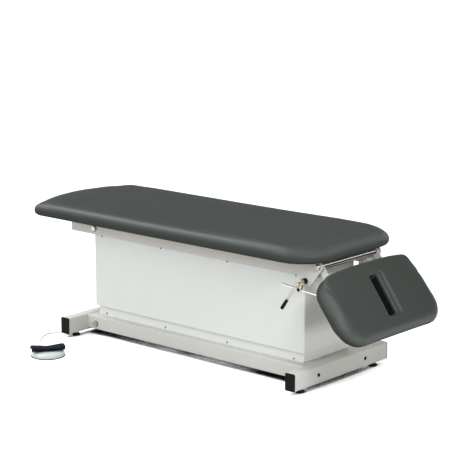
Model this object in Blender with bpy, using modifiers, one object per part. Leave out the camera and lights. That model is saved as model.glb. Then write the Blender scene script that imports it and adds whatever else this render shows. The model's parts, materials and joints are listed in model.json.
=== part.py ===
"""Powered treatment table with a hinged drop section at its head end.

A welded base carries a scissor lift inside a two-piece telescoping shroud. The lift raises a
tube frame with the main cushion. The drop section hangs on a rod at the frame's end, and a
sliding rod with a lever clamp holds its angle. A foot switch lies on the floor beside it.

Metres, +Z up. +X runs towards the drop section, and the clamp lever is on the -Y side.
"""

import math

import bmesh
import bpy
from mathutils import Matrix, Vector

# Fits
SEAT_GAP = 0.0003
RUN_GAP = 0.0004
WELD_DEPTH = 0.002

# Base frame
BASE_LENGTH = 1.396
FRAME_WIDTH = 0.400
FOOT_LENGTH = 0.643
FOOT_WIDTH = 0.0508
FOOT_HEIGHT = 0.0762
FOOT_LIFT = 0.020
TUBE_WALL = 0.003
TUBE_CORNER = 0.006
BASE_RAIL_WIDTH = 0.0508
BASE_RAIL_HEIGHT = 0.0635
BASE_RAIL_LIFT = 0.029
BOLT_ACCESS_RADIUS = 0.007
BOLT_ACCESS_INSET = 0.0111
CAP_THICKNESS = 0.004
CAP_PLUG_DEPTH = 0.018
CAP_PLUG_GAP = 0.0004
LEVELLER_INSET = 0.066
LEVELLER_RADIUS = 0.019
LEVELLER_STEM_RADIUS = 0.005
LEVELLER_STEM_TOP = 0.040

# Scissor lift
PIVOT_SETBACK = 0.103
ROLLER_SETBACK = 0.1826
LOWER_PIVOT_Z = 0.0565
PIVOT_RISE = 0.455
RAISE = 0.280
LOWER = 0.030
ARM_WIDTH = 0.045
ARM_THICKNESS = 0.012
ARM_PAIR_GAP = 0.004
OUTER_ARM_SETBACK = 0.075
PIVOT_SHAFT_RADIUS = 0.009
SHAFT_HEAD_LEDGE = 0.0035
SHAFT_HEAD_THICKNESS = 0.009
ROLLER_RADIUS = 0.0185
ROLLER_WIDTH = 0.014
ROLLER_END_GAP = 0.002
AXLE_RADIUS = 0.007
TRACK_WALL = 0.003
TRACK_DEPTH = 0.034
TRACK_GAP = 0.0006
TRACK_OVERRUN = 0.030
ARM_TIE_RADIUS = 0.021
OUTER_TIE_REACH = 0.450
INNER_TIE_REACH = 0.340

# Actuator
ACTUATOR_REACH = 0.550
ACTUATOR_FOOT_Z = 0.085
LEVER_RISE_ANGLE = math.radians(14.5)
ACTUATOR_PIN_RADIUS = 0.006
ACTUATOR_PIN_OVERHANG = 0.0015
ACTUATOR_EYE_RADIUS = 0.014
ACTUATOR_EYE_OVERHANG = 0.002
ACTUATOR_EAR_GAP = 0.0015
ACTUATOR_EAR_THICKNESS = 0.006
ACTUATOR_TUBE_RADIUS = 0.022
ACTUATOR_ROD_RADIUS = 0.012
ACTUATOR_HEAD_ROOM = 0.040
ACTUATOR_BORE_FLOOR = 0.078
MOTOR_RADIUS = 0.025
MOTOR_OFFSET = 0.050
MOTOR_END = 0.140
CROSS_TUBE_WIDTH = 0.040
CROSS_TUBE_HEIGHT = 0.032
CONTROL_BOX = (0.160, 0.150, 0.045)

# Shrouds
SHROUD_SETBACK = 0.0855
SHROUD_SIDE_SETBACK = 0.0413
SHROUD_STEP = 0.0125
SHEET = 0.0015
SHROUD_CORNER = 0.006
SHROUD_FLANGE = 0.008
SHROUD_SHOW = 0.045
SHROUD_HEAD_ROOM = 0.033

# Top frame
PIVOT_IN_RAIL = 0.0293
TOP_RAIL_HEIGHT = 0.0762
TOP_RAIL_WIDTH = 0.0381
TOP_RAIL_TAIL = 0.150
TOP_RAIL_HEAD = 0.002
TAIL_BAR_WIDTH = 0.0381
TAIL_BAR_HEIGHT = 0.0508
HEAD_BAR_WIDTH = 0.025
HEAD_BAR_HEIGHT = 0.040

# Main cushion
CUSHION_WIDTH = 0.677
CUSHION_THICKNESS = 0.0635
CUSHION_TAIL = 0.137
TAIL_BOW = 0.0754
TAIL_CORNER = 0.045
HEAD_CORNER = 0.168
BOARD_THICKNESS = 0.012
BOARD_INSET = 0.030
EDGE_ROLL = 0.055
EDGE_TUCK = 0.018
CROWN = 0.004
WIDEST_AT = 0.35

# Drop section
HINGE_AHEAD = 0.020
HINGE_BELOW = 0.0239
HINGE_ROD_RADIUS = 0.0110
HINGE_HEAD_LEDGE = 0.002
HINGE_HEAD_THICKNESS = 0.007
DROP_ANGLE = math.radians(54.5)
DROP_SECTION_GAP = 0.003
DROP_SECTION_STEP = 0.006
CUSHION_OVER_HINGE = 0.057
DROP_LENGTH = 0.3245
DROP_HINGE_CORNER = 0.081
DROP_END_CORNER = 0.104
HINGE_SIDE_ROLL = 0.026
HINGE_SIDE_LEAN = 0.012
SLOT_START = 0.060
SLOT_LENGTH = 0.178
SLOT_WIDTH = 0.046
SLOT_CORNER = 0.35
SLOT_LIP = 0.008
SLOT_LIP_DROP = 0.010
SLOT_BOARD_GAP = 0.003
DROP_ARM_THICKNESS = 0.006
DROP_ARM_SIDE_GAP = 0.008
DROP_ARM_END = 0.335
DROP_ARM_EYE_RADIUS = 0.016
ROD_LUG_RADIUS = 0.012
GUSSET_THICKNESS = 0.005
GUSSET_HINGE_RADIUS = 0.0215
GUSSET_LEVER_RADIUS = 0.030

# Support rod and lever clamp
LEVER_BEHIND_HINGE = 0.064
LEVER_BELOW_HINGE = 0.0675
CLAMP_DROP = 0.0325
CLAMP_BACK = 0.0065
CLAMP_SIDE = 0.036
ROD_SLOPE = math.radians(-5.8)
ROD_RADIUS = 0.004
ROD_TAIL = 0.0925
ROD_EYE_RADIUS = 0.010
ROD_EYE_WIDTH = 0.010
ROD_PIN_RADIUS = 0.005
TRUNNION_RADIUS = 0.0075
CLEVIS_WIDTH = 0.018
CLEVIS_SLOT = 0.011
CLEVIS_EYE_RADIUS = 0.0105
LEVER_RADIUS = 0.004
LEVER_REACH = 0.058
LEVER_LENGTH = 0.151
LEVER_ANGLE = math.radians(-124.5)
LEVER_BEND = 0.010
COLLAR_RADIUS = 0.012
GRIP_RADIUS = 0.0075
GRIP_LENGTH = 0.055
GRIP_END = 0.004

# Foot switch and its cord
SWITCH_AHEAD = 0.1506
SWITCH_BESIDE = -0.2535
SWITCH_TURN = math.radians(55.8)
SWITCH_RADIUS = 0.076
SWITCH_HEIGHT = 0.020
SWITCH_DOME = 0.003
PEDAL_PIVOT_Z = 0.029
PEDAL_LENGTH = 0.152
PEDAL_END_WIDTH = 0.064
PEDAL_WAIST = 0.048
PEDAL_TOP = 0.0095
PEDAL_WALL = 0.003
PEDAL_RISE = 0.0065
PEDAL_SKIRT_GAP = 0.0015
PEDAL_SKIRT_RISE = 0.0042
PEDAL_HUB_WIDTH = 0.022
PEDAL_HUB_RADIUS = 0.0048
PEDAL_PIN_RADIUS = 0.003
LUG_THICKNESS = 0.006
LUG_RADIUS = 0.0055
CORD_RADIUS = 0.0025
CORD_REST_Z = 0.0032
CORD_STEP = 0.011
CORD_STUB = 0.004
BOOT_LENGTH = 0.022
BOOT_Z = 0.0105
GLAND_Y = -0.2975
GLAND_LENGTH = 0.052
GLAND_NOSE = 0.022
GLAND_RADIUS = 0.0072

ROUND_STEPS = 24
FINE_STEPS = 16
CORNER_STEPS = 6

# Worked-out places, in the table's own frame: base centre on the floor
FOOT_X = BASE_LENGTH / 2 - FOOT_WIDTH / 2
FOOT_TOP = FOOT_LIFT + FOOT_HEIGHT
BASE_RAIL_TOP = BASE_RAIL_LIFT + BASE_RAIL_HEIGHT
BASE_RAIL_Y = FRAME_WIDTH / 2 - BASE_RAIL_WIDTH / 2
BASE_RAIL_INNER = FRAME_WIDTH / 2 - BASE_RAIL_WIDTH
BASE_RAIL_LENGTH = BASE_LENGTH - 2 * FOOT_WIDTH - 2 * SEAT_GAP

PIVOT_X = -BASE_LENGTH / 2 + PIVOT_SETBACK
SHAFT_HEAD_RADIUS = PIVOT_SHAFT_RADIUS + SHAFT_HEAD_LEDGE
ARM_RUN = BASE_LENGTH - PIVOT_SETBACK - ROLLER_SETBACK
ARM_LENGTH = math.hypot(ARM_RUN, PIVOT_RISE)
ARM_ANGLE = math.asin(PIVOT_RISE / ARM_LENGTH)
ARM_ANGLE_UP = math.asin((PIVOT_RISE + RAISE) / ARM_LENGTH)
ARM_ANGLE_DOWN = math.asin((PIVOT_RISE - LOWER) / ARM_LENGTH)
LOWER_PIVOT = Vector((PIVOT_X, 0, LOWER_PIVOT_Z))
UPPER_PIVOT = LOWER_PIVOT + Vector((0, 0, PIVOT_RISE))
SCISSOR_CENTRE = LOWER_PIVOT + Vector((ARM_RUN / 2, 0, PIVOT_RISE / 2))
OUTER_ARM_Y = FRAME_WIDTH / 2 - OUTER_ARM_SETBACK - ARM_THICKNESS / 2
INNER_ARM_Y = OUTER_ARM_Y - ARM_THICKNESS - ARM_PAIR_GAP
ROLLER_FAR_X = PIVOT_X + ARM_LENGTH * math.cos(ARM_ANGLE_DOWN)
ROLLER_NEAR_X = PIVOT_X + ARM_LENGTH * math.cos(ARM_ANGLE_UP)

FOOT_SWING = math.asin((ACTUATOR_FOOT_Z - LOWER_PIVOT_Z) / ACTUATOR_REACH)
ACTUATOR_FOOT = LOWER_PIVOT + ACTUATOR_REACH * Vector((math.cos(FOOT_SWING), 0, math.sin(FOOT_SWING)))
HEAD_SWING = ARM_ANGLE + LEVER_RISE_ANGLE
ACTUATOR_HEAD = LOWER_PIVOT + ACTUATOR_REACH * Vector((math.cos(HEAD_SWING), 0, math.sin(HEAD_SWING)))
ACTUATOR_TILT = math.atan2(ACTUATOR_HEAD.z - ACTUATOR_FOOT.z, ACTUATOR_HEAD.x - ACTUATOR_FOOT.x)
ACTUATOR_LENGTH = (ACTUATOR_HEAD - ACTUATOR_FOOT).length
SHUT_SWING = ARM_ANGLE_DOWN + LEVER_RISE_ANGLE - FOOT_SWING
ACTUATOR_SHUT = 2 * ACTUATOR_REACH * math.sin(SHUT_SWING / 2)
ACTUATOR_TUBE_END = ACTUATOR_SHUT - ACTUATOR_HEAD_ROOM
ACTUATOR_ROD_LENGTH = ACTUATOR_SHUT - ACTUATOR_BORE_FLOOR - 0.003
ACTUATOR_EYE_WIDTH = 2 * (ACTUATOR_TUBE_RADIUS + ACTUATOR_EYE_OVERHANG)
ACTUATOR_EAR_Y = ACTUATOR_EYE_WIDTH / 2 + ACTUATOR_EAR_GAP + ACTUATOR_EAR_THICKNESS / 2
ACTUATOR_PIN_LENGTH = 2 * (ACTUATOR_EAR_Y + ACTUATOR_EAR_THICKNESS / 2 + ACTUATOR_PIN_OVERHANG)

TOP_RAIL_BOTTOM = UPPER_PIVOT.z - PIVOT_IN_RAIL
TOP_RAIL_TOP = TOP_RAIL_BOTTOM + TOP_RAIL_HEIGHT
TOP_RAIL_START = PIVOT_X - TOP_RAIL_TAIL
TOP_RAIL_END = BASE_LENGTH / 2 + TOP_RAIL_HEAD
TOP_RAIL_Y = FRAME_WIDTH / 2 - TOP_RAIL_WIDTH / 2
TOP_RAIL_INNER = FRAME_WIDTH / 2 - TOP_RAIL_WIDTH
INNER_SHROUD_LENGTH = BASE_LENGTH - 2 * SHROUD_SETBACK
INNER_SHROUD_WIDTH = FRAME_WIDTH - 2 * SHROUD_SIDE_SETBACK
INNER_SHROUD_BOTTOM = BASE_RAIL_TOP + SEAT_GAP
INNER_SHROUD_TOP = TOP_RAIL_BOTTOM - SHROUD_HEAD_ROOM
OUTER_SHROUD_BOTTOM = BASE_RAIL_TOP + SHROUD_SHOW
OUTER_SHROUD_TOP = TOP_RAIL_BOTTOM - SEAT_GAP

HINGE = Vector((TOP_RAIL_END + HINGE_AHEAD, 0, TOP_RAIL_TOP - HINGE_BELOW))
CUSHION_BOTTOM = TOP_RAIL_TOP + SEAT_GAP
CUSHION_START = TOP_RAIL_START - CUSHION_TAIL
CUSHION_END = HINGE.x + CUSHION_OVER_HINGE
DROP_START = CUSHION_END + DROP_SECTION_GAP - HINGE.x
DROP_BOTTOM = CUSHION_BOTTOM - DROP_SECTION_STEP - HINGE.z
DROP_ARM_Y = FRAME_WIDTH / 2 - DROP_ARM_SIDE_GAP - DROP_ARM_THICKNESS / 2
GUSSET_Y = FRAME_WIDTH / 2 + SEAT_GAP + GUSSET_THICKNESS / 2
GUSSET_OUTER = GUSSET_Y + GUSSET_THICKNESS / 2

LEVER_AXIS = HINGE - Vector((LEVER_BEHIND_HINGE, 0, LEVER_BELOW_HINGE))
CLAMP_Y = -FRAME_WIDTH / 2 - CLAMP_SIDE
CLAMP_AXIS = LEVER_AXIS - Vector((CLAMP_BACK, 0, CLAMP_DROP))
ROD_LINE = Vector((math.cos(ROD_SLOPE), 0, math.sin(ROD_SLOPE)))
ROD_SPAN = -2 * (CLAMP_AXIS - HINGE).dot(ROD_LINE)
ROD_END = CLAMP_AXIS + ROD_SPAN * ROD_LINE

SWITCH_CENTRE = Vector((-FOOT_X + SWITCH_AHEAD, -FOOT_LENGTH / 2 + SWITCH_BESIDE, 0))
GLAND_MOUTH = Vector((-BASE_LENGTH / 2 - 0.014, GLAND_Y, FOOT_LIFT - SEAT_GAP - GLAND_RADIUS))

# Turns that lay a piece modelled along Z, or an outline drawn in XY, into place
ALONG_X = (math.pi / 2, 0, math.pi / 2)
ALONG_Y = (math.pi / 2, 0, 0)
UPRIGHT = (0, 0, 0)


def clear_scene():
    for old in list(bpy.data.objects):
        bpy.data.objects.remove(old, do_unlink=True)


def new_collection(name):
    collection = bpy.data.collections.new(name)
    bpy.context.scene.collection.children.link(collection)
    return collection


def finish(name, colour, roughness, metallic):
    """A plain surface finish."""
    material = bpy.data.materials.new(name)
    material.use_nodes = True
    shader = material.node_tree.nodes["Principled BSDF"]
    shader.inputs["Base Color"].default_value = (*colour, 1.0)
    shader.inputs["Roughness"].default_value = roughness
    shader.inputs["Metallic"].default_value = metallic
    return material


clear_scene()
PARTS = new_collection("drop_section_treatment_table")
CUTTERS = new_collection("cutters")

POWDER_COAT = finish("putty_powder_coat", (0.46, 0.44, 0.40), 0.45, 0.0)
SHROUD_COAT = finish("pale_shroud_coat", (0.72, 0.74, 0.71), 0.5, 0.0)
UPHOLSTERY = finish("slate_vinyl", (0.075, 0.085, 0.078), 0.5, 0.0)
PLYWOOD = finish("plywood", (0.55, 0.40, 0.24), 0.7, 0.0)
BLACK_PLASTIC = finish("black_plastic", (0.012, 0.012, 0.013), 0.5, 0.0)
CHROME = finish("chrome", (0.75, 0.75, 0.76), 0.12, 1.0)
ZINC = finish("zinc_plate", (0.62, 0.56, 0.44), 0.35, 1.0)
STEEL = finish("bright_steel", (0.55, 0.55, 0.56), 0.3, 1.0)
NYLON = finish("white_nylon", (0.75, 0.75, 0.73), 0.5, 0.0)
SWITCH_SHELL = finish("pale_switch_shell", (0.72, 0.80, 0.75), 0.4, 0.0)
PEDAL_NAVY = finish("navy_pedal", (0.004, 0.006, 0.016), 0.45, 0.0)


def axis_empty(name, place, parent, turn=0.0):
    """A guide on a joint's axis. Its pieces are modelled in its own frame, turned about Y."""
    empty = bpy.data.objects.new(name, None)
    PARTS.objects.link(empty)
    empty.parent = parent
    empty.location = place
    empty.rotation_euler = (0, turn, 0)
    return empty


def add_piece(name, mesh, material, parent, place=(0, 0, 0), turn=UPRIGHT):
    mesh.materials.clear()
    mesh.materials.append(material)
    piece = bpy.data.objects.new(name, mesh)
    PARTS.objects.link(piece)
    piece.parent = parent
    piece.location = place
    piece.rotation_euler = turn
    return piece


def add_tool(name, mesh, parent, place=(0, 0, 0), turn=UPRIGHT):
    """A hidden shape that a Boolean adds to a piece or takes from it."""
    tool = bpy.data.objects.new(name, mesh)
    CUTTERS.objects.link(tool)
    tool.parent = parent
    tool.location = place
    tool.rotation_euler = turn
    tool.hide_render = True
    tool.display_type = "WIRE"
    return tool


def combine(piece, tool, operation):
    modifier = piece.modifiers.new(tool.name, "BOOLEAN")
    modifier.operation = operation
    modifier.object = tool


def close_mesh(name, bm):
    bmesh.ops.remove_doubles(bm, verts=bm.verts, dist=1e-6)
    bmesh.ops.recalc_face_normals(bm, faces=bm.faces)
    mesh = bpy.data.meshes.new(name)
    bm.to_mesh(mesh)
    bm.free()
    mesh.shade_smooth()
    mesh.set_sharp_from_angle(angle=math.radians(35))
    return mesh


def box_mesh(name, size, bevel=0.0):
    bm = bmesh.new()
    bmesh.ops.create_cube(bm, size=1.0, matrix=Matrix.Diagonal((*size, 1.0)))
    if bevel:
        bmesh.ops.bevel(bm, geom=bm.edges[:], offset=bevel, segments=2, profile=0.5, affect="EDGES")
    return close_mesh(name, bm)


def rod_mesh(name, radius, length, steps=ROUND_STEPS):
    """A plain round bar along Z, centred."""
    bm = bmesh.new()
    bmesh.ops.create_cone(
        bm, cap_ends=True, segments=steps, radius1=radius, radius2=radius, depth=length
    )
    return close_mesh(name, bm)


def circle(radius, centre=(0.0, 0.0), steps=FINE_STEPS):
    turns = (2 * math.pi * step / steps for step in range(steps))
    return [(centre[0] + radius * math.cos(a), centre[1] + radius * math.sin(a)) for a in turns]


def rounded_rectangle(width, height, corner, steps=3):
    points = []
    for quarter, (side_x, side_y) in enumerate(((1, 1), (-1, 1), (-1, -1), (1, -1))):
        for step in range(steps + 1):
            angle = math.pi / 2 * (quarter + step / steps)
            x = side_x * (width / 2 - corner) + corner * math.cos(angle)
            y = side_y * (height / 2 - corner) + corner * math.sin(angle)
            points.append((x, y))
    return points


def hull_of_discs(discs, steps=32):
    """The outline of a plate drawn tight round discs, each given as (x, y, radius)."""
    points = sorted({p for x, y, r in discs for p in circle(r, (x, y), steps)})

    def chain(ordered):
        kept = []
        for p in ordered:
            while len(kept) > 1:
                (ax, ay), (bx, by) = kept[-2], kept[-1]
                if (bx - ax) * (p[1] - ay) - (by - ay) * (p[0] - ax) > 1e-9:
                    break
                kept.pop()
            kept.append(p)
        return kept[:-1]

    return chain(points) + chain(points[::-1])


def plate_mesh(name, outlines, thickness):
    """A flat plate along Z, centred: the first outline is its edge, and the others are holes."""
    curve = bpy.data.curves.new(name, "CURVE")
    curve.dimensions = "2D"
    curve.fill_mode = "BOTH"
    curve.extrude = thickness / 2
    for outline in outlines:
        spline = curve.splines.new("POLY")
        spline.points.add(len(outline) - 1)
        for point, (x, y) in zip(spline.points, outline):
            point.co = (x, y, 0, 1)
        spline.use_cyclic_u = True
    holder = bpy.data.objects.new(name, curve)
    bpy.context.scene.collection.objects.link(holder)
    evaluated = holder.evaluated_get(bpy.context.evaluated_depsgraph_get())
    bm = bmesh.new()
    bm.from_mesh(bpy.data.meshes.new_from_object(evaluated))
    bpy.data.objects.remove(holder)
    return close_mesh(name, bm)


def turned_piece(name, profile, material, parent, place, turn, steps=ROUND_STEPS, ring=False):
    """A piece turned about Z. The profile lists (radius, z) down its outer side."""
    mesh = bpy.data.meshes.new(name)
    count = len(profile)
    edges = [(i, (i + 1) % count) for i in range(count if ring else count - 1)]
    mesh.from_pydata([(r, 0, z) for r, z in profile], edges, [])
    piece = add_piece(name, mesh, material, parent, place, turn)
    screw = piece.modifiers.new("turn", "SCREW")
    screw.steps = steps
    screw.render_steps = steps
    screw.use_merge_vertices = True
    screw.merge_threshold = 1e-5
    return piece


def loft_mesh(name, rings, closed):
    """Skin rings of equal point counts. An open loft gets flat ends, a closed one joins up."""
    bm = bmesh.new()
    loops = [[bm.verts.new(p) for p in ring] for ring in rings]
    pairs = list(zip(loops, loops[1:] + loops[:1]))
    for first, second in pairs if closed else pairs[:-1]:
        for i in range(len(first)):
            bm.faces.new((first[i - 1], first[i], second[i], second[i - 1]))
    if not closed:
        bm.faces.new(loops[0])
        bm.faces.new(loops[-1])
    bm.normal_update()
    return close_mesh(name, bm)


def at_level(plan, z):
    return [(x, y, z) for x, y in plan]


def tube_mesh(name, width, height, length, wall=TUBE_WALL, corner=TUBE_CORNER):
    """A rounded rectangular tube along Z, centred."""
    outer = rounded_rectangle(width, height, corner)
    inner = rounded_rectangle(width - 2 * wall, height - 2 * wall, corner - wall)
    rings = [at_level(outer, -length / 2), at_level(outer, length / 2)]
    rings += [at_level(inner, length / 2), at_level(inner, -length / 2)]
    return loft_mesh(name, rings, closed=True)


def smooth_route(points, step):
    """Points a step apart along the smooth curve through the given ones."""
    ends = [2 * points[0] - points[1]] + points + [2 * points[-1] - points[-2]]
    fine = []
    for a, b, c, d in zip(ends, ends[1:], ends[2:], ends[3:]):
        for k in range(20):
            t = k / 20
            bow = (2 * a - 5 * b + 4 * c - d) * t * t + (3 * b - a - 3 * c + d) * t**3
            fine.append(b + 0.5 * ((c - a) * t + bow))
    fine.append(points[-1])
    route = [fine[0]]
    for point in fine[1:-1]:
        if (point - route[-1]).length >= step and (point - fine[-1]).length >= 0.6 * step:
            route.append(point)
    return route + [fine[-1]]


def wire_piece(name, points, radius, material, parent, resolution):
    """A round wire or cord along the given points, with flat ends."""
    curve = bpy.data.curves.new(name, "CURVE")
    curve.dimensions = "3D"
    curve.bevel_depth = radius
    curve.bevel_resolution = resolution
    curve.use_fill_caps = True
    spline = curve.splines.new("POLY")
    spline.points.add(len(points) - 1)
    for point, place in zip(spline.points, points):
        point.co = (*place, 1)
    return add_piece(name, curve, material, parent)


def mirrored(name):
    """The near and far names of a paired piece, with the side each one is on."""
    return ((name + "_near", -1), (name + "_far", 1))


TABLE = axis_empty("table_axis", (0, 0, 0), None)
OUTER_ARMS = axis_empty("lift_axis", LOWER_PIVOT, TABLE, -ARM_ANGLE)
INNER_ARMS = axis_empty("scissor_axis", SCISSOR_CENTRE, TABLE, ARM_ANGLE)
TOP = axis_empty("top_axis", UPPER_PIVOT, TABLE)
DROP = axis_empty("drop_axis", HINGE, TABLE, DROP_ANGLE)
ROD = axis_empty("rod_axis", ROD_END + Vector((0, CLAMP_Y, 0)), TABLE, math.pi - ROD_SLOPE)
TRUNNION = axis_empty("trunnion_axis", CLAMP_AXIS + Vector((0, CLAMP_Y, 0)), TABLE, -ROD_SLOPE)
LEVER = axis_empty("lever_axis", LEVER_AXIS, TABLE)
ACTUATOR = axis_empty("actuator_axis", ACTUATOR_FOOT, TABLE, -ACTUATOR_TILT)
PISTON = axis_empty("piston_axis", ACTUATOR_HEAD, TABLE, -ACTUATOR_TILT)
SWITCH = axis_empty("switch_axis", SWITCH_CENTRE, TABLE)
SWITCH.rotation_euler = (0, 0, SWITCH_TURN)
PEDAL = axis_empty("pedal_axis", (0, 0, PEDAL_PIVOT_Z), SWITCH)


def build_feet():
    """The two floor tubes with their end caps and levelling feet."""
    for end, side_x in (("tail", -1), ("head", 1)):
        tube = tube_mesh(end + "_foot_tube", FOOT_WIDTH, FOOT_HEIGHT, FOOT_LENGTH)
        place = (side_x * FOOT_X, 0, FOOT_LIFT + FOOT_HEIGHT / 2)
        foot = add_piece(end + "_foot_tube", tube, POWDER_COAT, TABLE, place, ALONG_Y)
        for side, side_y in mirrored(end):
            build_foot_end(foot, side, side_x, side_y)


def build_foot_end(foot, side, side_x, side_y):
    access = add_tool(
        side + "_access", rod_mesh("access", BOLT_ACCESS_RADIUS, 2 * TUBE_WALL, FINE_STEPS), TABLE,
        (side_x * BASE_LENGTH / 2, side_y * (BASE_RAIL_Y - BOLT_ACCESS_INSET), FOOT_LIFT + FOOT_HEIGHT / 2), ALONG_X,
    )
    combine(foot, access, "DIFFERENCE")
    leveller_y = side_y * (FOOT_LENGTH / 2 - LEVELLER_INSET)
    stem_hole = add_tool(
        side + "_stem_hole",
        rod_mesh("stem_hole", LEVELLER_STEM_RADIUS + SEAT_GAP, 2 * TUBE_WALL, FINE_STEPS), TABLE,
        (side_x * FOOT_X, leveller_y, FOOT_LIFT),
    )
    combine(foot, stem_hole, "DIFFERENCE")
    lock_top = FOOT_LIFT - SEAT_GAP
    profile = [
        (0, LEVELLER_STEM_TOP), (LEVELLER_STEM_RADIUS, LEVELLER_STEM_TOP - 0.001),
        (LEVELLER_STEM_RADIUS, lock_top), (0.010, lock_top), (0.010, lock_top - 0.006),
        (0.012, lock_top - 0.007), (LEVELLER_RADIUS, 0.006), (LEVELLER_RADIUS, 0.001),
        (LEVELLER_RADIUS - 0.001, 0), (0, 0),
    ]
    turned_piece(
        side + "_levelling_foot", profile, BLACK_PLASTIC, TABLE,
        (side_x * FOOT_X, leveller_y, 0), UPRIGHT, FINE_STEPS,
    )
    cap = plate_mesh("cap", [rounded_rectangle(FOOT_WIDTH, FOOT_HEIGHT, TUBE_CORNER)], CAP_THICKNESS)
    cap_y = side_y * (FOOT_LENGTH / 2 + SEAT_GAP + CAP_THICKNESS / 2)
    centre_z = FOOT_LIFT + FOOT_HEIGHT / 2
    piece = add_piece(
        side + "_foot_cap", cap, BLACK_PLASTIC, TABLE, (side_x * FOOT_X, cap_y, centre_z), ALONG_Y
    )
    inside = 2 * (TUBE_WALL + CAP_PLUG_GAP)
    plug = plate_mesh(
        "plug",
        [rounded_rectangle(FOOT_WIDTH - inside, FOOT_HEIGHT - inside, TUBE_CORNER - TUBE_WALL)],
        CAP_PLUG_DEPTH,
    )
    plug_y = side_y * (FOOT_LENGTH / 2 + SEAT_GAP + WELD_DEPTH - CAP_PLUG_DEPTH / 2)
    tool = add_tool(side + "_plug", plug, TABLE, (side_x * FOOT_X, plug_y, centre_z), ALONG_Y)
    combine(piece, tool, "UNION")


def build_base_rails():
    """The two long rails between the feet, bored for the lower pivot shaft."""
    bore = PIVOT_SHAFT_RADIUS + SEAT_GAP
    cutter = add_tool(
        "lower_pivot_bore", rod_mesh("lower_pivot_bore", bore, 1.2 * FRAME_WIDTH, FINE_STEPS),
        TABLE, LOWER_PIVOT, ALONG_Y,
    )
    for name, side_y in mirrored("base_rail"):
        tube = tube_mesh(name, BASE_RAIL_WIDTH, BASE_RAIL_HEIGHT, BASE_RAIL_LENGTH)
        place = (0, side_y * BASE_RAIL_Y, BASE_RAIL_LIFT + BASE_RAIL_HEIGHT / 2)
        rail = add_piece(name, tube, POWDER_COAT, TABLE, place, ALONG_X)
        combine(rail, cutter, "DIFFERENCE")


def build_pivot_shaft(name, parent, place):
    """A through shaft with a domed bolt head outside each rail."""
    reach = FRAME_WIDTH / 2 + SEAT_GAP
    head = reach + SHAFT_HEAD_THICKNESS
    half = [
        (0, head), (SHAFT_HEAD_RADIUS * 0.7, head), (SHAFT_HEAD_RADIUS * 0.8, head - 0.001),
        (SHAFT_HEAD_RADIUS * 0.8, reach + 0.003), (SHAFT_HEAD_RADIUS, reach + 0.002),
        (SHAFT_HEAD_RADIUS, reach), (PIVOT_SHAFT_RADIUS, reach),
    ]
    profile = half + [(r, -z) for r, z in half[::-1]]
    turned_piece(name, profile, ZINC, parent, place, ALONG_Y, FINE_STEPS)


def track_outline(side_y):
    """A C-shaped channel, open towards the table's middle. Its web's back is at y = 0."""
    half = ROLLER_RADIUS + TRACK_GAP + TRACK_WALL
    lip = half - TRACK_WALL
    shape = [
        (0, -half), (0, half), (-TRACK_DEPTH, half), (-TRACK_DEPTH, lip),
        (-TRACK_WALL, lip), (-TRACK_WALL, -lip), (-TRACK_DEPTH, -lip), (-TRACK_DEPTH, -half),
    ]
    return [(side_y * y, z) for y, z in shape]


def build_tracks(name, parent, rail_inner, place):
    start = ROLLER_NEAR_X - TRACK_OVERRUN
    length = ROLLER_FAR_X + TRACK_OVERRUN - start
    for side, side_y in mirrored(name):
        mesh = plate_mesh(side, [track_outline(side_y)], length)
        spot = (start + length / 2 - place.x, side_y * (rail_inner - SEAT_GAP), 0)
        add_piece(side, mesh, STEEL, parent, spot, ALONG_X)


def build_actuator_seat():
    """The cross tube between the base rails with welded ears for the actuator's foot."""
    length = 2 * (BASE_RAIL_INNER - SEAT_GAP)
    tube = tube_mesh("base_cross_tube", CROSS_TUBE_WIDTH, CROSS_TUBE_HEIGHT, length)
    centre_z = BASE_RAIL_LIFT + CROSS_TUBE_HEIGHT / 2
    place = (ACTUATOR_FOOT.x, 0, centre_z)
    seat = add_piece("base_cross_tube", tube, POWDER_COAT, TABLE, place, ALONG_Y)
    root = BASE_RAIL_LIFT + CROSS_TUBE_HEIGHT - WELD_DEPTH - ACTUATOR_FOOT.z + ACTUATOR_EYE_RADIUS / 2
    ear = hull_of_discs([
        (0, 0, ACTUATOR_EYE_RADIUS),
        (-ACTUATOR_EYE_RADIUS / 2, root, ACTUATOR_EYE_RADIUS / 2),
        (ACTUATOR_EYE_RADIUS / 2, root, ACTUATOR_EYE_RADIUS / 2),
    ], FINE_STEPS)
    add_ears(seat, "base", ear, TABLE, ACTUATOR_FOOT)
    box_x = ACTUATOR_FOOT.x - CROSS_TUBE_WIDTH / 2 - SEAT_GAP - CONTROL_BOX[0] / 2
    box_z = BASE_RAIL_LIFT + CONTROL_BOX[2] / 2
    add_piece(
        "control_box", box_mesh("control_box", CONTROL_BOX, 0.004), BLACK_PLASTIC, TABLE,
        (box_x, 0, box_z),
    )


def add_ears(piece, name, outline, parent, place):
    """Weld a pair of ears and their pin to a piece."""
    for side, side_y in mirrored(name + "_ear"):
        ear = plate_mesh(side, [outline], ACTUATOR_EAR_THICKNESS)
        spot = Vector(place) + Vector((0, side_y * ACTUATOR_EAR_Y, 0))
        combine(piece, add_tool(side, ear, parent, spot, ALONG_Y), "UNION")
    pin = rod_mesh(name + "_pin", ACTUATOR_PIN_RADIUS, ACTUATOR_PIN_LENGTH, FINE_STEPS)
    combine(piece, add_tool(name + "_pin", pin, parent, place, ALONG_Y), "UNION")


def shroud_outline(outer, wall_in):
    step = SHROUD_STEP if outer else 0.0
    length = INNER_SHROUD_LENGTH + 2 * (step - wall_in)
    width = INNER_SHROUD_WIDTH + 2 * (step - wall_in)
    corner = max(SHROUD_CORNER - wall_in, 0.001)
    return rounded_rectangle(length, width, corner)


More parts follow.
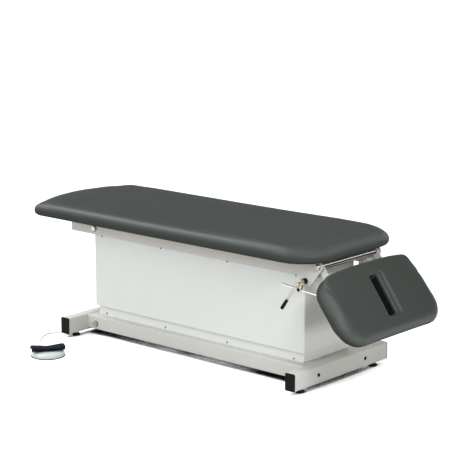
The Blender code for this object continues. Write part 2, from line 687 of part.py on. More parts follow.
def build_shroud(name, outer, parent, bottom, top, place):
    """One folded sheet-steel skirt round the lift, with a flange turned in at its fixed edge."""
    fixed, free = (top, bottom) if outer else (bottom, top)
    flange_level = fixed - SHEET if outer else fixed + SHEET
    edge = [
        (0, free), (0, fixed), (SHROUD_FLANGE, fixed), (SHROUD_FLANGE, flange_level),
        (SHEET, flange_level), (SHEET, free),
    ]
    rings = [at_level(shroud_outline(outer, wall_in), z) for wall_in, z in edge]
    add_piece(name, loft_mesh(name, rings, closed=True), SHROUD_COAT, parent, -place)


def arm_outline(reach_back, reach_ahead, bores):
    edge = hull_of_discs(
        [(-reach_back, 0, ARM_WIDTH / 2), (reach_ahead, 0, ARM_WIDTH / 2)], ROUND_STEPS
    )
    return [edge] + [circle(radius + RUN_GAP, (x, 0)) for x, radius in bores]


def build_arm_pair(name, parent, arm_y, outline, tie_x):
    """Two flat arms welded to a round tie tube."""
    near = plate_mesh(name, outline, ARM_THICKNESS)
    pair = add_piece(name, near, POWDER_COAT, parent, (0, -arm_y, 0), ALONG_Y)
    far = plate_mesh(name + "_far_arm", outline, ARM_THICKNESS)
    combine(pair, add_tool(name + "_far_arm", far, parent, (0, arm_y, 0), ALONG_Y), "UNION")
    length = 2 * (arm_y - ARM_THICKNESS / 2 + WELD_DEPTH)
    tie = rod_mesh(name + "_tie", ARM_TIE_RADIUS, length)
    tie.transform(Matrix.Rotation(math.radians(3), 4, "Z"))
    combine(pair, add_tool(name + "_tie", tie, parent, (tie_x, 0, 0), ALONG_Y), "UNION")
    return pair


def build_scissor():
    half = ARM_LENGTH / 2
    pivot = PIVOT_SHAFT_RADIUS
    outer_bores = [(0, pivot), (half, pivot), (ARM_LENGTH, AXLE_RADIUS)]
    outer = build_arm_pair(
        "outer_scissor_arms", OUTER_ARMS, OUTER_ARM_Y, arm_outline(0, ARM_LENGTH, outer_bores),
        OUTER_TIE_REACH,
    )
    head_x = ACTUATOR_REACH * math.cos(LEVER_RISE_ANGLE)
    head_z = ACTUATOR_REACH * math.sin(LEVER_RISE_ANGLE)
    lever = hull_of_discs([
        (OUTER_TIE_REACH - head_x, -head_z, ARM_TIE_RADIUS + 0.006), (0, 0, ACTUATOR_EYE_RADIUS),
    ], FINE_STEPS)
    add_ears(outer, "lift_lever", lever, OUTER_ARMS, (head_x, 0, head_z))
    inner_bores = [(-half, pivot), (0, pivot), (half, AXLE_RADIUS)]
    build_arm_pair(
        "inner_scissor_arms", INNER_ARMS, INNER_ARM_Y, arm_outline(half, half, inner_bores),
        INNER_TIE_REACH,
    )
    shaft_reach = OUTER_ARM_Y + ARM_THICKNESS / 2 + 0.003
    add_piece(
        "scissor_centre_shaft", rod_mesh("scissor_centre_shaft", pivot, 2 * shaft_reach, FINE_STEPS),
        STEEL, OUTER_ARMS, (half, 0, 0), ALONG_Y,
    )
    build_rollers("upper", OUTER_ARMS, ARM_LENGTH, TOP_RAIL_INNER)
    build_rollers("lower", INNER_ARMS, half, BASE_RAIL_INNER)


def build_rollers(level, parent, reach, rail_inner):
    """An axle across the arms' rolling ends, with a nylon roller near each track's web."""
    web = rail_inner - SEAT_GAP - TRACK_WALL
    axle = rod_mesh(level + "_roller_axle", AXLE_RADIUS, 2 * (web - ROLLER_END_GAP / 2), FINE_STEPS)
    add_piece(level + "_roller_axle", axle, STEEL, parent, (reach, 0, 0), ALONG_Y)
    half = ROLLER_WIDTH / 2
    bore = AXLE_RADIUS + RUN_GAP
    profile = [
        (bore, half), (ROLLER_RADIUS - 0.001, half), (ROLLER_RADIUS, half - 0.001),
        (ROLLER_RADIUS, 0.001 - half), (ROLLER_RADIUS - 0.001, -half), (bore, -half),
    ]
    for name, side_y in mirrored(level + "_roller"):
        place = (reach, side_y * (web - ROLLER_END_GAP - half), 0)
        turned_piece(name, profile, NYLON, parent, place, ALONG_Y, FINE_STEPS, ring=True)


def build_actuator():
    """A spindle drive: foot eye, gear housing, motor and tube, with the piston in its bore."""
    eye = [circle(ACTUATOR_EYE_RADIUS), circle(ACTUATOR_PIN_RADIUS + RUN_GAP)]
    housing_start = ACTUATOR_EYE_RADIUS + 0.004
    housing_end = ACTUATOR_BORE_FLOOR - 0.004
    body = add_piece(
        "actuator_body", plate_mesh("actuator_body", eye, ACTUATOR_EYE_WIDTH), BLACK_PLASTIC,
        ACTUATOR, (0, 0, 0), ALONG_Y,
    )
    neck = box_mesh("actuator_neck", (housing_start, 0.020, 0.018))
    neck_x = ACTUATOR_EYE_RADIUS - 0.003 + housing_start / 2
    combine(body, add_tool("actuator_neck", neck, ACTUATOR, (neck_x, 0, 0)), "UNION")
    deep = ACTUATOR_TUBE_RADIUS + MOTOR_OFFSET + MOTOR_RADIUS + 0.006
    housing = box_mesh(
        "actuator_housing", (housing_end - housing_start, 2 * MOTOR_RADIUS + 0.006, deep), 0.005
    )
    housing_z = 0.003 + ACTUATOR_TUBE_RADIUS - deep / 2
    spot = ((housing_start + housing_end) / 2, 0, housing_z)
    combine(body, add_tool("actuator_housing", housing, ACTUATOR, spot), "UNION")
    tube_start = housing_end - WELD_DEPTH
    tube = rod_mesh("actuator_tube", ACTUATOR_TUBE_RADIUS, ACTUATOR_TUBE_END - tube_start)
    spot = ((tube_start + ACTUATOR_TUBE_END) / 2, 0, 0)
    combine(body, add_tool("actuator_tube", tube, ACTUATOR, spot, ALONG_X), "UNION")
    motor = rod_mesh("actuator_motor", MOTOR_RADIUS, MOTOR_END - tube_start)
    spot = ((tube_start + MOTOR_END) / 2, 0, -MOTOR_OFFSET)
    combine(body, add_tool("actuator_motor", motor, ACTUATOR, spot, ALONG_X), "UNION")
    bore_length = ACTUATOR_TUBE_END - ACTUATOR_BORE_FLOOR + 0.010
    bore = rod_mesh("actuator_bore", ACTUATOR_ROD_RADIUS + RUN_GAP, bore_length)
    spot = (ACTUATOR_BORE_FLOOR + bore_length / 2, 0, 0)
    combine(body, add_tool("actuator_bore", bore, ACTUATOR, spot, ALONG_X), "DIFFERENCE")
    piston = add_piece(
        "actuator_piston", plate_mesh("actuator_piston", eye, ACTUATOR_EYE_WIDTH), CHROME,
        PISTON, (0, 0, 0), ALONG_Y,
    )
    shank_start = ACTUATOR_PIN_RADIUS + RUN_GAP + 0.003
    shank = rod_mesh("piston_shank", ACTUATOR_ROD_RADIUS, ACTUATOR_ROD_LENGTH - shank_start)
    shank.transform(Matrix.Rotation(math.radians(4), 4, "Z"))
    spot = (-(shank_start + ACTUATOR_ROD_LENGTH) / 2, 0, 0)
    combine(piston, add_tool("piston_shank", shank, PISTON, spot, ALONG_X), "UNION")


def build_top_frame():
    """Two long rails, tied at both ends, bored for the upper pivot shaft."""
    length = TOP_RAIL_END - TOP_RAIL_START
    centre_x = (TOP_RAIL_START + TOP_RAIL_END) / 2 - UPPER_PIVOT.x
    rail_z = TOP_RAIL_BOTTOM + TOP_RAIL_HEIGHT / 2 - UPPER_PIVOT.z
    bore = rod_mesh("upper_pivot_bore", PIVOT_SHAFT_RADIUS + SEAT_GAP, 1.2 * FRAME_WIDTH, FINE_STEPS)
    cutter = add_tool("upper_pivot_bore", bore, TOP, (0, 0, 0), ALONG_Y)
    for name, side_y in mirrored("top_rail"):
        tube = tube_mesh(name, TOP_RAIL_WIDTH, TOP_RAIL_HEIGHT, length)
        rail = add_piece(
            name, tube, POWDER_COAT, TOP, (centre_x, side_y * TOP_RAIL_Y, rail_z), ALONG_X
        )
        combine(rail, cutter, "DIFFERENCE")
    between = 2 * (TOP_RAIL_INNER - SEAT_GAP)
    tail = tube_mesh("tail_cross_bar", TAIL_BAR_WIDTH, TAIL_BAR_HEIGHT, between)
    tail_x = TOP_RAIL_START + TAIL_BAR_WIDTH / 2 - UPPER_PIVOT.x
    tail_z = TOP_RAIL_TOP - TAIL_BAR_HEIGHT / 2 - UPPER_PIVOT.z
    add_piece("tail_cross_bar", tail, POWDER_COAT, TOP, (tail_x, 0, tail_z), ALONG_Y)
    head = tube_mesh("head_cross_bar", HEAD_BAR_WIDTH, HEAD_BAR_HEIGHT, between)
    head_x = TOP_RAIL_END - HEAD_BAR_WIDTH / 2 - UPPER_PIVOT.x
    head_z = TOP_RAIL_TOP - HEAD_BAR_HEIGHT / 2 - UPPER_PIVOT.z
    add_piece("head_cross_bar", head, STEEL, TOP, (head_x, 0, head_z), ALONG_Y)


def table_outline(inset):
    """The main cushion's plan, drawn in by an inset: a bowed tail and round head corners."""
    half = CUSHION_WIDTH / 2 - inset
    start = CUSHION_START + inset
    end = CUSHION_END - inset
    tail_corner = max(TAIL_CORNER - inset, 0.005)
    head_corner = max(HEAD_CORNER - inset, 0.005)
    plan = []
    for side_x, side_y, corner in ((1, 1, head_corner), (-1, 1, tail_corner),
                                   (-1, -1, tail_corner), (1, -1, head_corner)):
        turn_start = {(1, 1): 0, (-1, 1): 1, (-1, -1): 2, (1, -1): 3}[(side_x, side_y)]
        edge = end if side_x > 0 else start
        for step in range(CORNER_STEPS + 1):
            angle = math.pi / 2 * (turn_start + step / CORNER_STEPS)
            plan.append((
                edge - side_x * corner + corner * math.cos(angle),
                side_y * (half - corner) + corner * math.sin(angle),
            ))
        if (side_x, side_y) == (-1, 1):
            reach = half - corner
            plan += [(start, reach * (1 - k / CORNER_STEPS)) for k in range(1, 2 * CORNER_STEPS)]
    middle = (start + end) / 2
    return [(x - TAIL_BOW * (1 - (y / half) ** 2) if x < middle else x, y) for x, y in plan]


def drop_outline(inset, hinge_inset=None):
    """The drop section's plan in its own level frame, measured from the hinge."""
    half = CUSHION_WIDTH / 2 - inset
    start = DROP_START + (inset if hinge_inset is None else hinge_inset)
    end = DROP_START + DROP_LENGTH - inset
    hinge_corner = max(DROP_HINGE_CORNER - inset, 0.005)
    end_corner = max(DROP_END_CORNER - inset, 0.005)
    plan = []
    corners = ((end, 1, 1, end_corner), (start, -1, 1, hinge_corner),
               (start, -1, -1, hinge_corner), (end, 1, -1, end_corner))
    for quarter, (edge, side_x, side_y, corner) in enumerate(corners):
        for step in range(CORNER_STEPS + 1):
            angle = math.pi / 2 * (quarter + step / CORNER_STEPS)
            plan.append((
                edge - side_x * corner + corner * math.cos(angle),
                side_y * (half - corner) + corner * math.sin(angle),
            ))
    return plan


def slot_outline(grow):
    """The breathing slot's plan, grown by a margin, with as many points as the section's plan."""
    half = SLOT_WIDTH / 2 + grow
    start = DROP_START + SLOT_START - grow
    end = start + SLOT_LENGTH + 2 * grow
    plan = []
    corners = ((end, 1, 1), (start, -1, 1), (start, -1, -1), (end, 1, -1))
    corner = SLOT_CORNER * half
    for quarter, (edge, side_x, side_y) in enumerate(corners):
        for step in range(CORNER_STEPS + 1):
            angle = math.pi / 2 * (quarter + step / CORNER_STEPS)
            plan.append((
                edge - side_x * corner + corner * math.cos(angle),
                side_y * (half - corner) + corner * math.sin(angle),
            ))
    return plan


def cushion_edge(bottom):
    """(inset, z) up a cushion's edge: pocket for the board, tucked underside, rolled top."""
    pocket = BOARD_INSET - SEAT_GAP
    widest = bottom + WIDEST_AT * CUSHION_THICKNESS
    top = bottom + CUSHION_THICKNESS - CROWN
    edge = [(pocket, bottom + BOARD_THICKNESS + SEAT_GAP), (pocket, bottom)]
    for step in range(4):
        angle = math.pi / 2 * step / 4
        edge.append((EDGE_TUCK * (1 - math.sin(angle)), widest - (widest - bottom) * math.cos(angle)))
    for step in range(8):
        angle = math.pi / 2 * step / 7
        edge.append((EDGE_ROLL * (1 - math.cos(angle)), widest + (top - widest) * math.sin(angle)))
    return edge


def hinge_side_inset(roll_inset):
    """The roll at the hinge: fuller than the others, leaning over the main cushion's own roll."""
    share = roll_inset / EDGE_ROLL
    lift = 1 - (1 - share) ** 2
    return HINGE_SIDE_ROLL * share**4 - HINGE_SIDE_LEAN * lift


def build_main_cushion():
    offset = -UPPER_PIVOT
    board_place = Vector((0, 0, CUSHION_BOTTOM + BOARD_THICKNESS / 2)) + offset
    board = plate_mesh("main_board", [table_outline(BOARD_INSET)], BOARD_THICKNESS)
    add_piece("main_board", board, PLYWOOD, TOP, board_place)
    rings = [at_level(table_outline(inset), z) for inset, z in cushion_edge(CUSHION_BOTTOM)]
    top = CUSHION_BOTTOM + CUSHION_THICKNESS
    rings.append(at_level(table_outline(EDGE_ROLL + 0.070), top - 0.35 * CROWN))
    rings.append(at_level(table_outline(EDGE_ROLL + 0.150), top))
    cushion = loft_mesh("main_cushion", rings, closed=False)
    add_piece("main_cushion", cushion, UPHOLSTERY, TOP, offset)


def build_drop_section():
    """The section's board, cushion and the two arms that swing on the hinge rod."""
    board = plate_mesh(
        "drop_board", [drop_outline(BOARD_INSET), slot_outline(SLOT_BOARD_GAP)], BOARD_THICKNESS
    )
    add_piece("drop_board", board, PLYWOOD, DROP, (0, 0, DROP_BOTTOM + BOARD_THICKNESS / 2))
    edge = cushion_edge(DROP_BOTTOM)
    rings = [at_level(drop_outline(inset), z) for inset, z in edge[:-8]]
    rings += [at_level(drop_outline(inset, hinge_side_inset(inset)), z) for inset, z in edge[-8:]]
    top = DROP_BOTTOM + CUSHION_THICKNESS
    lip = at_level(slot_outline(SLOT_LIP), top)
    rings.append([tuple((a + b) / 2 for a, b in zip(p, q)) for p, q in zip(rings[-1], lip)])
    rings.append(lip)
    rings.append(at_level(slot_outline(SLOT_LIP * 0.3), top - SLOT_LIP_DROP * 0.3))
    rings.append(at_level(slot_outline(0), top - SLOT_LIP_DROP))
    rings.append(at_level(slot_outline(0), edge[0][1]))
    add_piece("drop_cushion", loft_mesh("drop_cushion", rings, closed=True), UPHOLSTERY, DROP)
    to_end = (ROD_END - HINGE).to_3d()
    to_end.rotate(Matrix.Rotation(-DROP_ANGLE, 3, "Y"))
    arm_top = DROP_BOTTOM - SEAT_GAP
    outline = hull_of_discs([
        (0, 0, DROP_ARM_EYE_RADIUS), (0.050, arm_top - 0.010, 0.010),
        (DROP_ARM_END, arm_top - 0.008, 0.008),
    ])
    lug = hull_of_discs([
        (to_end.x, 0, ROD_LUG_RADIUS + 0.004), (to_end.x, to_end.z, ROD_LUG_RADIUS),
    ], ROUND_STEPS)
    lug_hole = circle(ROD_PIN_RADIUS + SEAT_GAP, (to_end.x, to_end.z))
    for name, side_y in mirrored("drop_arm"):
        mesh = plate_mesh(name, [outline, circle(HINGE_ROD_RADIUS + RUN_GAP)], DROP_ARM_THICKNESS)
        place = (0, side_y * DROP_ARM_Y, 0)
        arm = add_piece(name, mesh, POWDER_COAT, DROP, place, ALONG_Y)
        lug_mesh = plate_mesh(name + "_lug", [lug, lug_hole], DROP_ARM_THICKNESS - 0.001)
        combine(arm, add_tool(name + "_lug", lug_mesh, DROP, place, ALONG_Y), "UNION")
    inner_end = DROP_ARM_Y - DROP_ARM_THICKNESS / 2 - 0.002
    outer_end = -CLAMP_Y + ROD_EYE_WIDTH / 2 + 0.002
    pin = rod_mesh("rod_pin", ROD_PIN_RADIUS, outer_end - inner_end, FINE_STEPS)
    place = (to_end.x, -(inner_end + outer_end) / 2, to_end.z)
    add_piece("rod_pin", pin, ZINC, DROP, place, ALONG_Y)


def build_hinge_end():
    """The gusset plates at the frame's end, the hinge rod and the clamp's fixed pieces."""
    hinge = HINGE - UPPER_PIVOT
    lever = LEVER_AXIS - UPPER_PIVOT
    top_corner = TOP_RAIL_TOP - 0.003 - UPPER_PIVOT.z
    outline = hull_of_discs([
        (hinge.x, hinge.z, GUSSET_HINGE_RADIUS), (lever.x, lever.z, GUSSET_LEVER_RADIUS),
        (lever.x - GUSSET_LEVER_RADIUS + 0.012, top_corner - 0.012, 0.012),
    ])
    bores = [
        circle(HINGE_ROD_RADIUS + SEAT_GAP, (hinge.x, hinge.z)),
        circle(LEVER_RADIUS + RUN_GAP, (lever.x, lever.z)),
    ]
    for name, side_y in mirrored("hinge_gusset"):
        gusset = plate_mesh(name, [outline] + bores, GUSSET_THICKNESS)
        add_piece(name, gusset, POWDER_COAT, TOP, (0, side_y * GUSSET_Y, 0), ALONG_Y)
    reach = GUSSET_OUTER + SEAT_GAP
    tip = reach + HINGE_HEAD_THICKNESS
    washer = HINGE_ROD_RADIUS + HINGE_HEAD_LEDGE
    head = 0.8 * washer
    half = [
        (0, tip), (head - 0.001, tip), (head, tip - 0.001), (head, reach + 0.002),
        (washer, reach + 0.0015), (washer, reach), (HINGE_ROD_RADIUS, reach),
    ]
    profile = half + [(r, -z) for r, z in half[::-1]]
    turned_piece("hinge_rod", profile, CHROME, TOP, hinge, ALONG_Y)
    collar_start = GUSSET_OUTER + SEAT_GAP
    collar_end = -CLAMP_Y - CLEVIS_WIDTH / 2 - SEAT_GAP
    half_collar = (collar_end - collar_start) / 2
    bore = LEVER_RADIUS + RUN_GAP
    profile = [
        (bore, half_collar), (COLLAR_RADIUS - 0.002, half_collar), (COLLAR_RADIUS, half_collar - 0.002),
        (COLLAR_RADIUS, -half_collar), (bore, -half_collar),
    ]
    place = lever + Vector((0, -(collar_start + collar_end) / 2, 0))
    turned_piece("lever_collar", profile, BLACK_PLASTIC, TOP, place, ALONG_Y, FINE_STEPS, ring=True)
    clevis = hull_of_discs([
        (0, 0, CLEVIS_EYE_RADIUS), (-CLAMP_BACK, -CLAMP_DROP, CLEVIS_EYE_RADIUS),
    ])
    bores = [
        circle(LEVER_RADIUS + RUN_GAP), circle(TRUNNION_RADIUS + RUN_GAP, (-CLAMP_BACK, -CLAMP_DROP)),
    ]
    block = add_piece(
        "clamp_clevis", plate_mesh("clamp_clevis", [clevis] + bores, CLEVIS_WIDTH), ZINC, TOP,
        lever + Vector((0, CLAMP_Y, 0)), ALONG_Y,
    )
    slot_depth = 0.060
    slot = box_mesh("clevis_slot", (0.080, CLEVIS_SLOT, slot_depth))
    slot_top = -LEVER_RADIUS - 0.008
    place = lever + Vector((0, CLAMP_Y, slot_top - slot_depth / 2))
    combine(block, add_tool("clevis_slot", slot, TOP, place), "DIFFERENCE")


def build_rod_and_trunnion():
    """The sliding rod, pinned to the drop section, and the cross pin that it slides through."""
    eye = [circle(ROD_EYE_RADIUS, steps=ROUND_STEPS), circle(ROD_PIN_RADIUS + RUN_GAP)]
    rod = add_piece(
        "support_rod", plate_mesh("support_rod", eye, ROD_EYE_WIDTH), CHROME, ROD, (0, 0, 0), ALONG_Y
    )
    start = ROD_PIN_RADIUS + RUN_GAP + 0.002
    end = ROD_SPAN + ROD_TAIL
    bar = rod_mesh("rod_bar", ROD_RADIUS, end - start, FINE_STEPS)
    bar.transform(Matrix.Rotation(math.radians(4), 4, "Z"))
    combine(rod, add_tool("rod_bar", bar, ROD, ((start + end) / 2, 0, 0), ALONG_X), "UNION")
    trunnion = add_piece(
        "rod_trunnion", rod_mesh("rod_trunnion", TRUNNION_RADIUS, CLEVIS_WIDTH), STEEL,
        TRUNNION, (0, 0, 0), ALONG_Y,
    )
    bore = rod_mesh("trunnion_bore", ROD_RADIUS + RUN_GAP, 4 * TRUNNION_RADIUS, FINE_STEPS)
    combine(trunnion, add_tool("trunnion_bore", bore, TRUNNION, (0, 0, 0), ALONG_X), "DIFFERENCE")


def build_lever():
    """The clamp's cranked lever: a shaft through the gusset, an elbow and a gripped arm."""
    inner_end = -FRAME_WIDTH / 2 + 0.004
    elbow_y = -FRAME_WIDTH / 2 - LEVER_REACH
    along = Vector((math.cos(LEVER_ANGLE), 0, math.sin(LEVER_ANGLE)))
    points = [Vector((0, inner_end, 0))]
    for step in range(CORNER_STEPS + 1):
        angle = math.pi / 2 * step / CORNER_STEPS
        swing = LEVER_BEND * (1 - math.cos(angle))
        points.append(Vector((0, elbow_y + LEVER_BEND * (1 - math.sin(angle)), 0)) + along * swing)
    points.append(Vector((0, elbow_y, 0)) + along * (LEVER_LENGTH - GRIP_END))
    wire_piece("clamp_lever", points, LEVER_RADIUS, STEEL, LEVER, 3)
    bore = LEVER_RADIUS + SEAT_GAP
    profile = [
        (0, GRIP_LENGTH), (GRIP_RADIUS * 0.6, GRIP_LENGTH - 0.0005),
        (GRIP_RADIUS, GRIP_LENGTH - GRIP_END), (GRIP_RADIUS, GRIP_LENGTH * 0.45),
        (GRIP_RADIUS * 0.85, 0.001), (GRIP_RADIUS * 0.75, 0), (bore, 0),
        (bore, GRIP_LENGTH - GRIP_END + SEAT_GAP), (0, GRIP_LENGTH - GRIP_END + SEAT_GAP),
    ]
    place = along * (LEVER_LENGTH - GRIP_LENGTH) + Vector((0, elbow_y, 0))
    tilt = math.pi / 2 - LEVER_ANGLE
    turned_piece("lever_grip", profile, BLACK_PLASTIC, LEVER, place, (0, tilt, 0), FINE_STEPS)


def pedal_outline():
    """A bow-tie: wide at both ends and narrow at the pivot."""
    half_length = PEDAL_LENGTH / 2
    upper = []
    for step in range(13):
        x = half_length * (1 - step / 6)
        spread = (abs(x) / half_length) ** 1.5
        corner = math.sqrt(max(0.0, 1 - (max(0.0, abs(x) / half_length - 0.86) / 0.14) ** 2))
        width = PEDAL_WAIST + (PEDAL_END_WIDTH - PEDAL_WAIST) * spread
        upper.append((x, width / 2 * (0.72 + 0.28 * corner)))
    return upper + [(x, -y) for x, y in upper[::-1]]


def build_switch():
    """The round floor switch: domed shell with two lugs, rocker pedal and its pin."""
    profile = [
        (0, SWITCH_HEIGHT + SWITCH_DOME), (SWITCH_RADIUS * 0.55, SWITCH_HEIGHT + SWITCH_DOME * 0.7),
        (SWITCH_RADIUS * 0.9, SWITCH_HEIGHT), (SWITCH_RADIUS * 0.97, SWITCH_HEIGHT - 0.003),
        (SWITCH_RADIUS, SWITCH_HEIGHT * 0.55), (SWITCH_RADIUS, 0.002), (SWITCH_RADIUS - 0.002, 0), (0, 0),
    ]
    shell = turned_piece("switch_shell", profile, SWITCH_SHELL, SWITCH, (0, 0, 0), UPRIGHT, 32)
    lug_y = PEDAL_HUB_WIDTH / 2 + 0.002 + LUG_THICKNESS / 2
    drop = PEDAL_PIVOT_Z - SWITCH_HEIGHT
    lug = hull_of_discs([
        (0, 0, LUG_RADIUS), (-LUG_RADIUS, LUG_RADIUS / 2 - drop, LUG_RADIUS / 2),
        (LUG_RADIUS, LUG_RADIUS / 2 - drop, LUG_RADIUS / 2),
    ], FINE_STEPS)
    hole = circle(PEDAL_PIN_RADIUS + SEAT_GAP, steps=12)
    for name, side_y in mirrored("switch_lug"):
        mesh = plate_mesh(name, [lug, hole], LUG_THICKNESS)
        tool = add_tool(name, mesh, SWITCH, (0, side_y * lug_y, PEDAL_PIVOT_Z), ALONG_Y)
        combine(shell, tool, "UNION")
    pin = rod_mesh("pedal_pin", PEDAL_PIN_RADIUS, 2 * lug_y + LUG_THICKNESS, 12)
    add_piece("pedal_pin", pin, STEEL, SWITCH, (0, 0, PEDAL_PIVOT_Z), ALONG_Y)
    build_pedal()


def build_pedal():
    """The rocker: a hollow cover that dips at the middle, on a hub that turns on the pin."""
    outline = pedal_outline()
    count = len(outline) // 2
    skirt_low = SWITCH_HEIGHT + SWITCH_DOME + PEDAL_SKIRT_GAP - PEDAL_PIVOT_Z
    rings = []
    for x, edge in outline[:count]:
        out = abs(x) / (PEDAL_LENGTH / 2)
        top = PEDAL_TOP + PEDAL_RISE * out
        roof = top - PEDAL_WALL
        skirt = skirt_low + PEDAL_SKIRT_RISE * out
        inside = edge - PEDAL_WALL
        half = [(edge, skirt), (edge, top - 0.002), (edge - 0.002, top)]
        hollow = [(-inside, skirt), (-inside, roof), (inside, roof), (inside, skirt)]
        ring = half + [(-y, z) for y, z in half[::-1]] + hollow
        rings.append([(x, y, z) for y, z in ring])
    pedal = add_piece("switch_pedal", loft_mesh("switch_pedal", rings, closed=False), PEDAL_NAVY, PEDAL)
    web = PEDAL_TOP - PEDAL_WALL / 2 - 0.003
    hub = plate_mesh("pedal_hub", [hull_of_discs([
        (0, 0, PEDAL_HUB_RADIUS), (-0.004, web, 0.003), (0.004, web, 0.003),
    ], FINE_STEPS)], PEDAL_HUB_WIDTH)
    combine(pedal, add_tool("pedal_hub", hub, PEDAL, (0, 0, 0), ALONG_Y), "UNION")
    bore = rod_mesh("pedal_bore", PEDAL_PIN_RADIUS + RUN_GAP, 2 * PEDAL_HUB_WIDTH, 12)
    combine(pedal, add_tool("pedal_bore", bore, PEDAL, (0, 0, 0), ALONG_Y), "DIFFERENCE")


def build_cord():
    """The switch's cord: from its boot, along the floor, to the gland under the tail foot."""
    leave = Vector((-0.915, 0.404, 0)).normalized()
    boot_start = SWITCH_CENTRE + leave * (SWITCH_RADIUS + SEAT_GAP) + Vector((0, 0, BOOT_Z))
    boot_end = boot_start + leave * BOOT_LENGTH
    profile = [
        (0, 0), (CORD_RADIUS + 0.001, 0), (CORD_RADIUS + 0.0015, -0.004),
        (CORD_RADIUS + 0.004, -BOOT_LENGTH), (0, -BOOT_LENGTH),
    ]
    heading = math.atan2(leave.y, leave.x)
    turned_piece(
        "cord_boot", profile, BLACK_PLASTIC, TABLE, boot_end, (0, math.pi / 2, heading), FINE_STEPS
    )
    mouth = GLAND_MOUTH
    floor = [
        (0.069, -0.2165), (0.009, -0.160), (-0.041, -0.100), (-0.066, -0.046), (-0.057, -0.010),
        (-0.028, 0.0012),
    ]
    route = [boot_end + leave * CORD_STUB, boot_end + leave * 0.014]
    route[1].z = BOOT_Z - 0.0025
    route += [Vector((mouth.x + x, mouth.y + y, CORD_REST_Z)) for x, y in floor]
    route[-1].z = CORD_REST_Z + 0.004
    route += [mouth + Vector((-0.014, 0.0004, -0.001)), mouth - Vector((CORD_STUB, 0, 0))]
    ends = [boot_end + leave * SEAT_GAP], [mouth - Vector((SEAT_GAP, 0, 0))]
    route = ends[0] + smooth_route(route, CORD_STEP) + ends[1]
    wire_piece("switch_cord", route, CORD_RADIUS, NYLON, TABLE, 2)
    profile = [
        (0, 0), (CORD_RADIUS + 0.001, 0), (GLAND_RADIUS - 0.0015, -GLAND_NOSE),
        (GLAND_RADIUS, -GLAND_NOSE - 0.001), (GLAND_RADIUS, -GLAND_LENGTH), (0, -GLAND_LENGTH),
    ]
    turned_piece(
        "cord_gland", profile, NYLON, TABLE, mouth, (0, -math.pi / 2, 0), FINE_STEPS
    )


def centre_on_floor():
    """Shift the whole table so that the middle of its footprint is the origin."""
    bpy.context.view_layer.update()
    depsgraph = bpy.context.evaluated_depsgraph_get()
    low = Vector((math.inf, math.inf))
    high = Vector((-math.inf, -math.inf))
    for piece in PARTS.objects:
        if piece.type == "EMPTY" or piece.name == "switch_cord":
            continue
        evaluated = piece.evaluated_get(depsgraph)
        mesh = evaluated.to_mesh()
        for vertex in mesh.vertices:
            spot = evaluated.matrix_world @ vertex.co
            low = Vector((min(low.x, spot.x), min(low.y, spot.y)))
            high = Vector((max(high.x, spot.x), max(high.y, spot.y)))
        evaluated.to_mesh_clear()
    TABLE.location = (-(low.x + high.x) / 2, -(low.y + high.y) / 2, 0)


build_feet()
build_base_rails()
build_pivot_shaft("lower_pivot_shaft", TABLE, LOWER_PIVOT)
build_tracks("base_track", TABLE, BASE_RAIL_INNER, Vector((0, 0, 0)))
for track in ("base_track_near", "base_track_far"):
    bpy.data.objects[track].location.z = LOWER_PIVOT_Z
build_actuator_seat()
build_shroud("inner_shroud", False, TABLE, INNER_SHROUD_BOTTOM, INNER_SHROUD_TOP, Vector())
build_scissor()
build_actuator()
build_top_frame()
build_pivot_shaft("upper_pivot_shaft", TOP, (0, 0, 0))
build_tracks("top_track", TOP, TOP_RAIL_INNER, UPPER_PIVOT)
build_shroud("outer_shroud", True, TOP, OUTER_SHROUD_BOTTOM, OUTER_SHROUD_TOP, UPPER_PIVOT)
build_main_cushion()
build_drop_section()
build_hinge_end()
build_rod_and_trunnion()
build_lever()
build_switch()
build_cord()
centre_on_floor()
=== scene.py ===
"""Looks for a powered treatment table with a hinged drop section.

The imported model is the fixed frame. This add-on dresses it with a stage and camera, the foot
switch's cord, the upholstery, fasteners, welds, small fittings and the finishes.
"""

import json
import math

import bmesh
import bpy
import numpy as np
from bpy.props import FloatProperty, FloatVectorProperty, PointerProperty
from bpy.types import Operator, Panel, PropertyGroup
from mathutils import Matrix, Vector


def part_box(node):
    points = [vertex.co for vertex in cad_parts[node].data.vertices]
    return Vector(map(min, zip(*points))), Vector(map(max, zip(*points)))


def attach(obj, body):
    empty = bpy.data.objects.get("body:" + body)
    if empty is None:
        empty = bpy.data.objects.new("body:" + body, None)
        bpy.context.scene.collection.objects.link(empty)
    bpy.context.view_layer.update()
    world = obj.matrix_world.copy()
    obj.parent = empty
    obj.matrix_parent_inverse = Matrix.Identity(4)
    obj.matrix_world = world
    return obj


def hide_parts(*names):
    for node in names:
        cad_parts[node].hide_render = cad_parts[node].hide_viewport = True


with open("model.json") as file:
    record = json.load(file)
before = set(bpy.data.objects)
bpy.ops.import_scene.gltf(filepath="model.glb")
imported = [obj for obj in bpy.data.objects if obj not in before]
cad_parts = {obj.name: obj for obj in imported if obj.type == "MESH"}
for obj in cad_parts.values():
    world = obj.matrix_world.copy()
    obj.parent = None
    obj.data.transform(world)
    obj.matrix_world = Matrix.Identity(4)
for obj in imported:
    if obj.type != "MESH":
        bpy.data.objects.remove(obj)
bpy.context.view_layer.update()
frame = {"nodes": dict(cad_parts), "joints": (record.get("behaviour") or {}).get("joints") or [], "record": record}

bl_info = {
    "name": "Treatment Table Looks",
    "version": (1, 0, 0),
    "blender": (4, 5, 0),
    "location": "3D View > Sidebar > Treatment Table",
    "description": "Upholstery, fittings and finishes for a powered treatment table",
    "category": "Object",
}

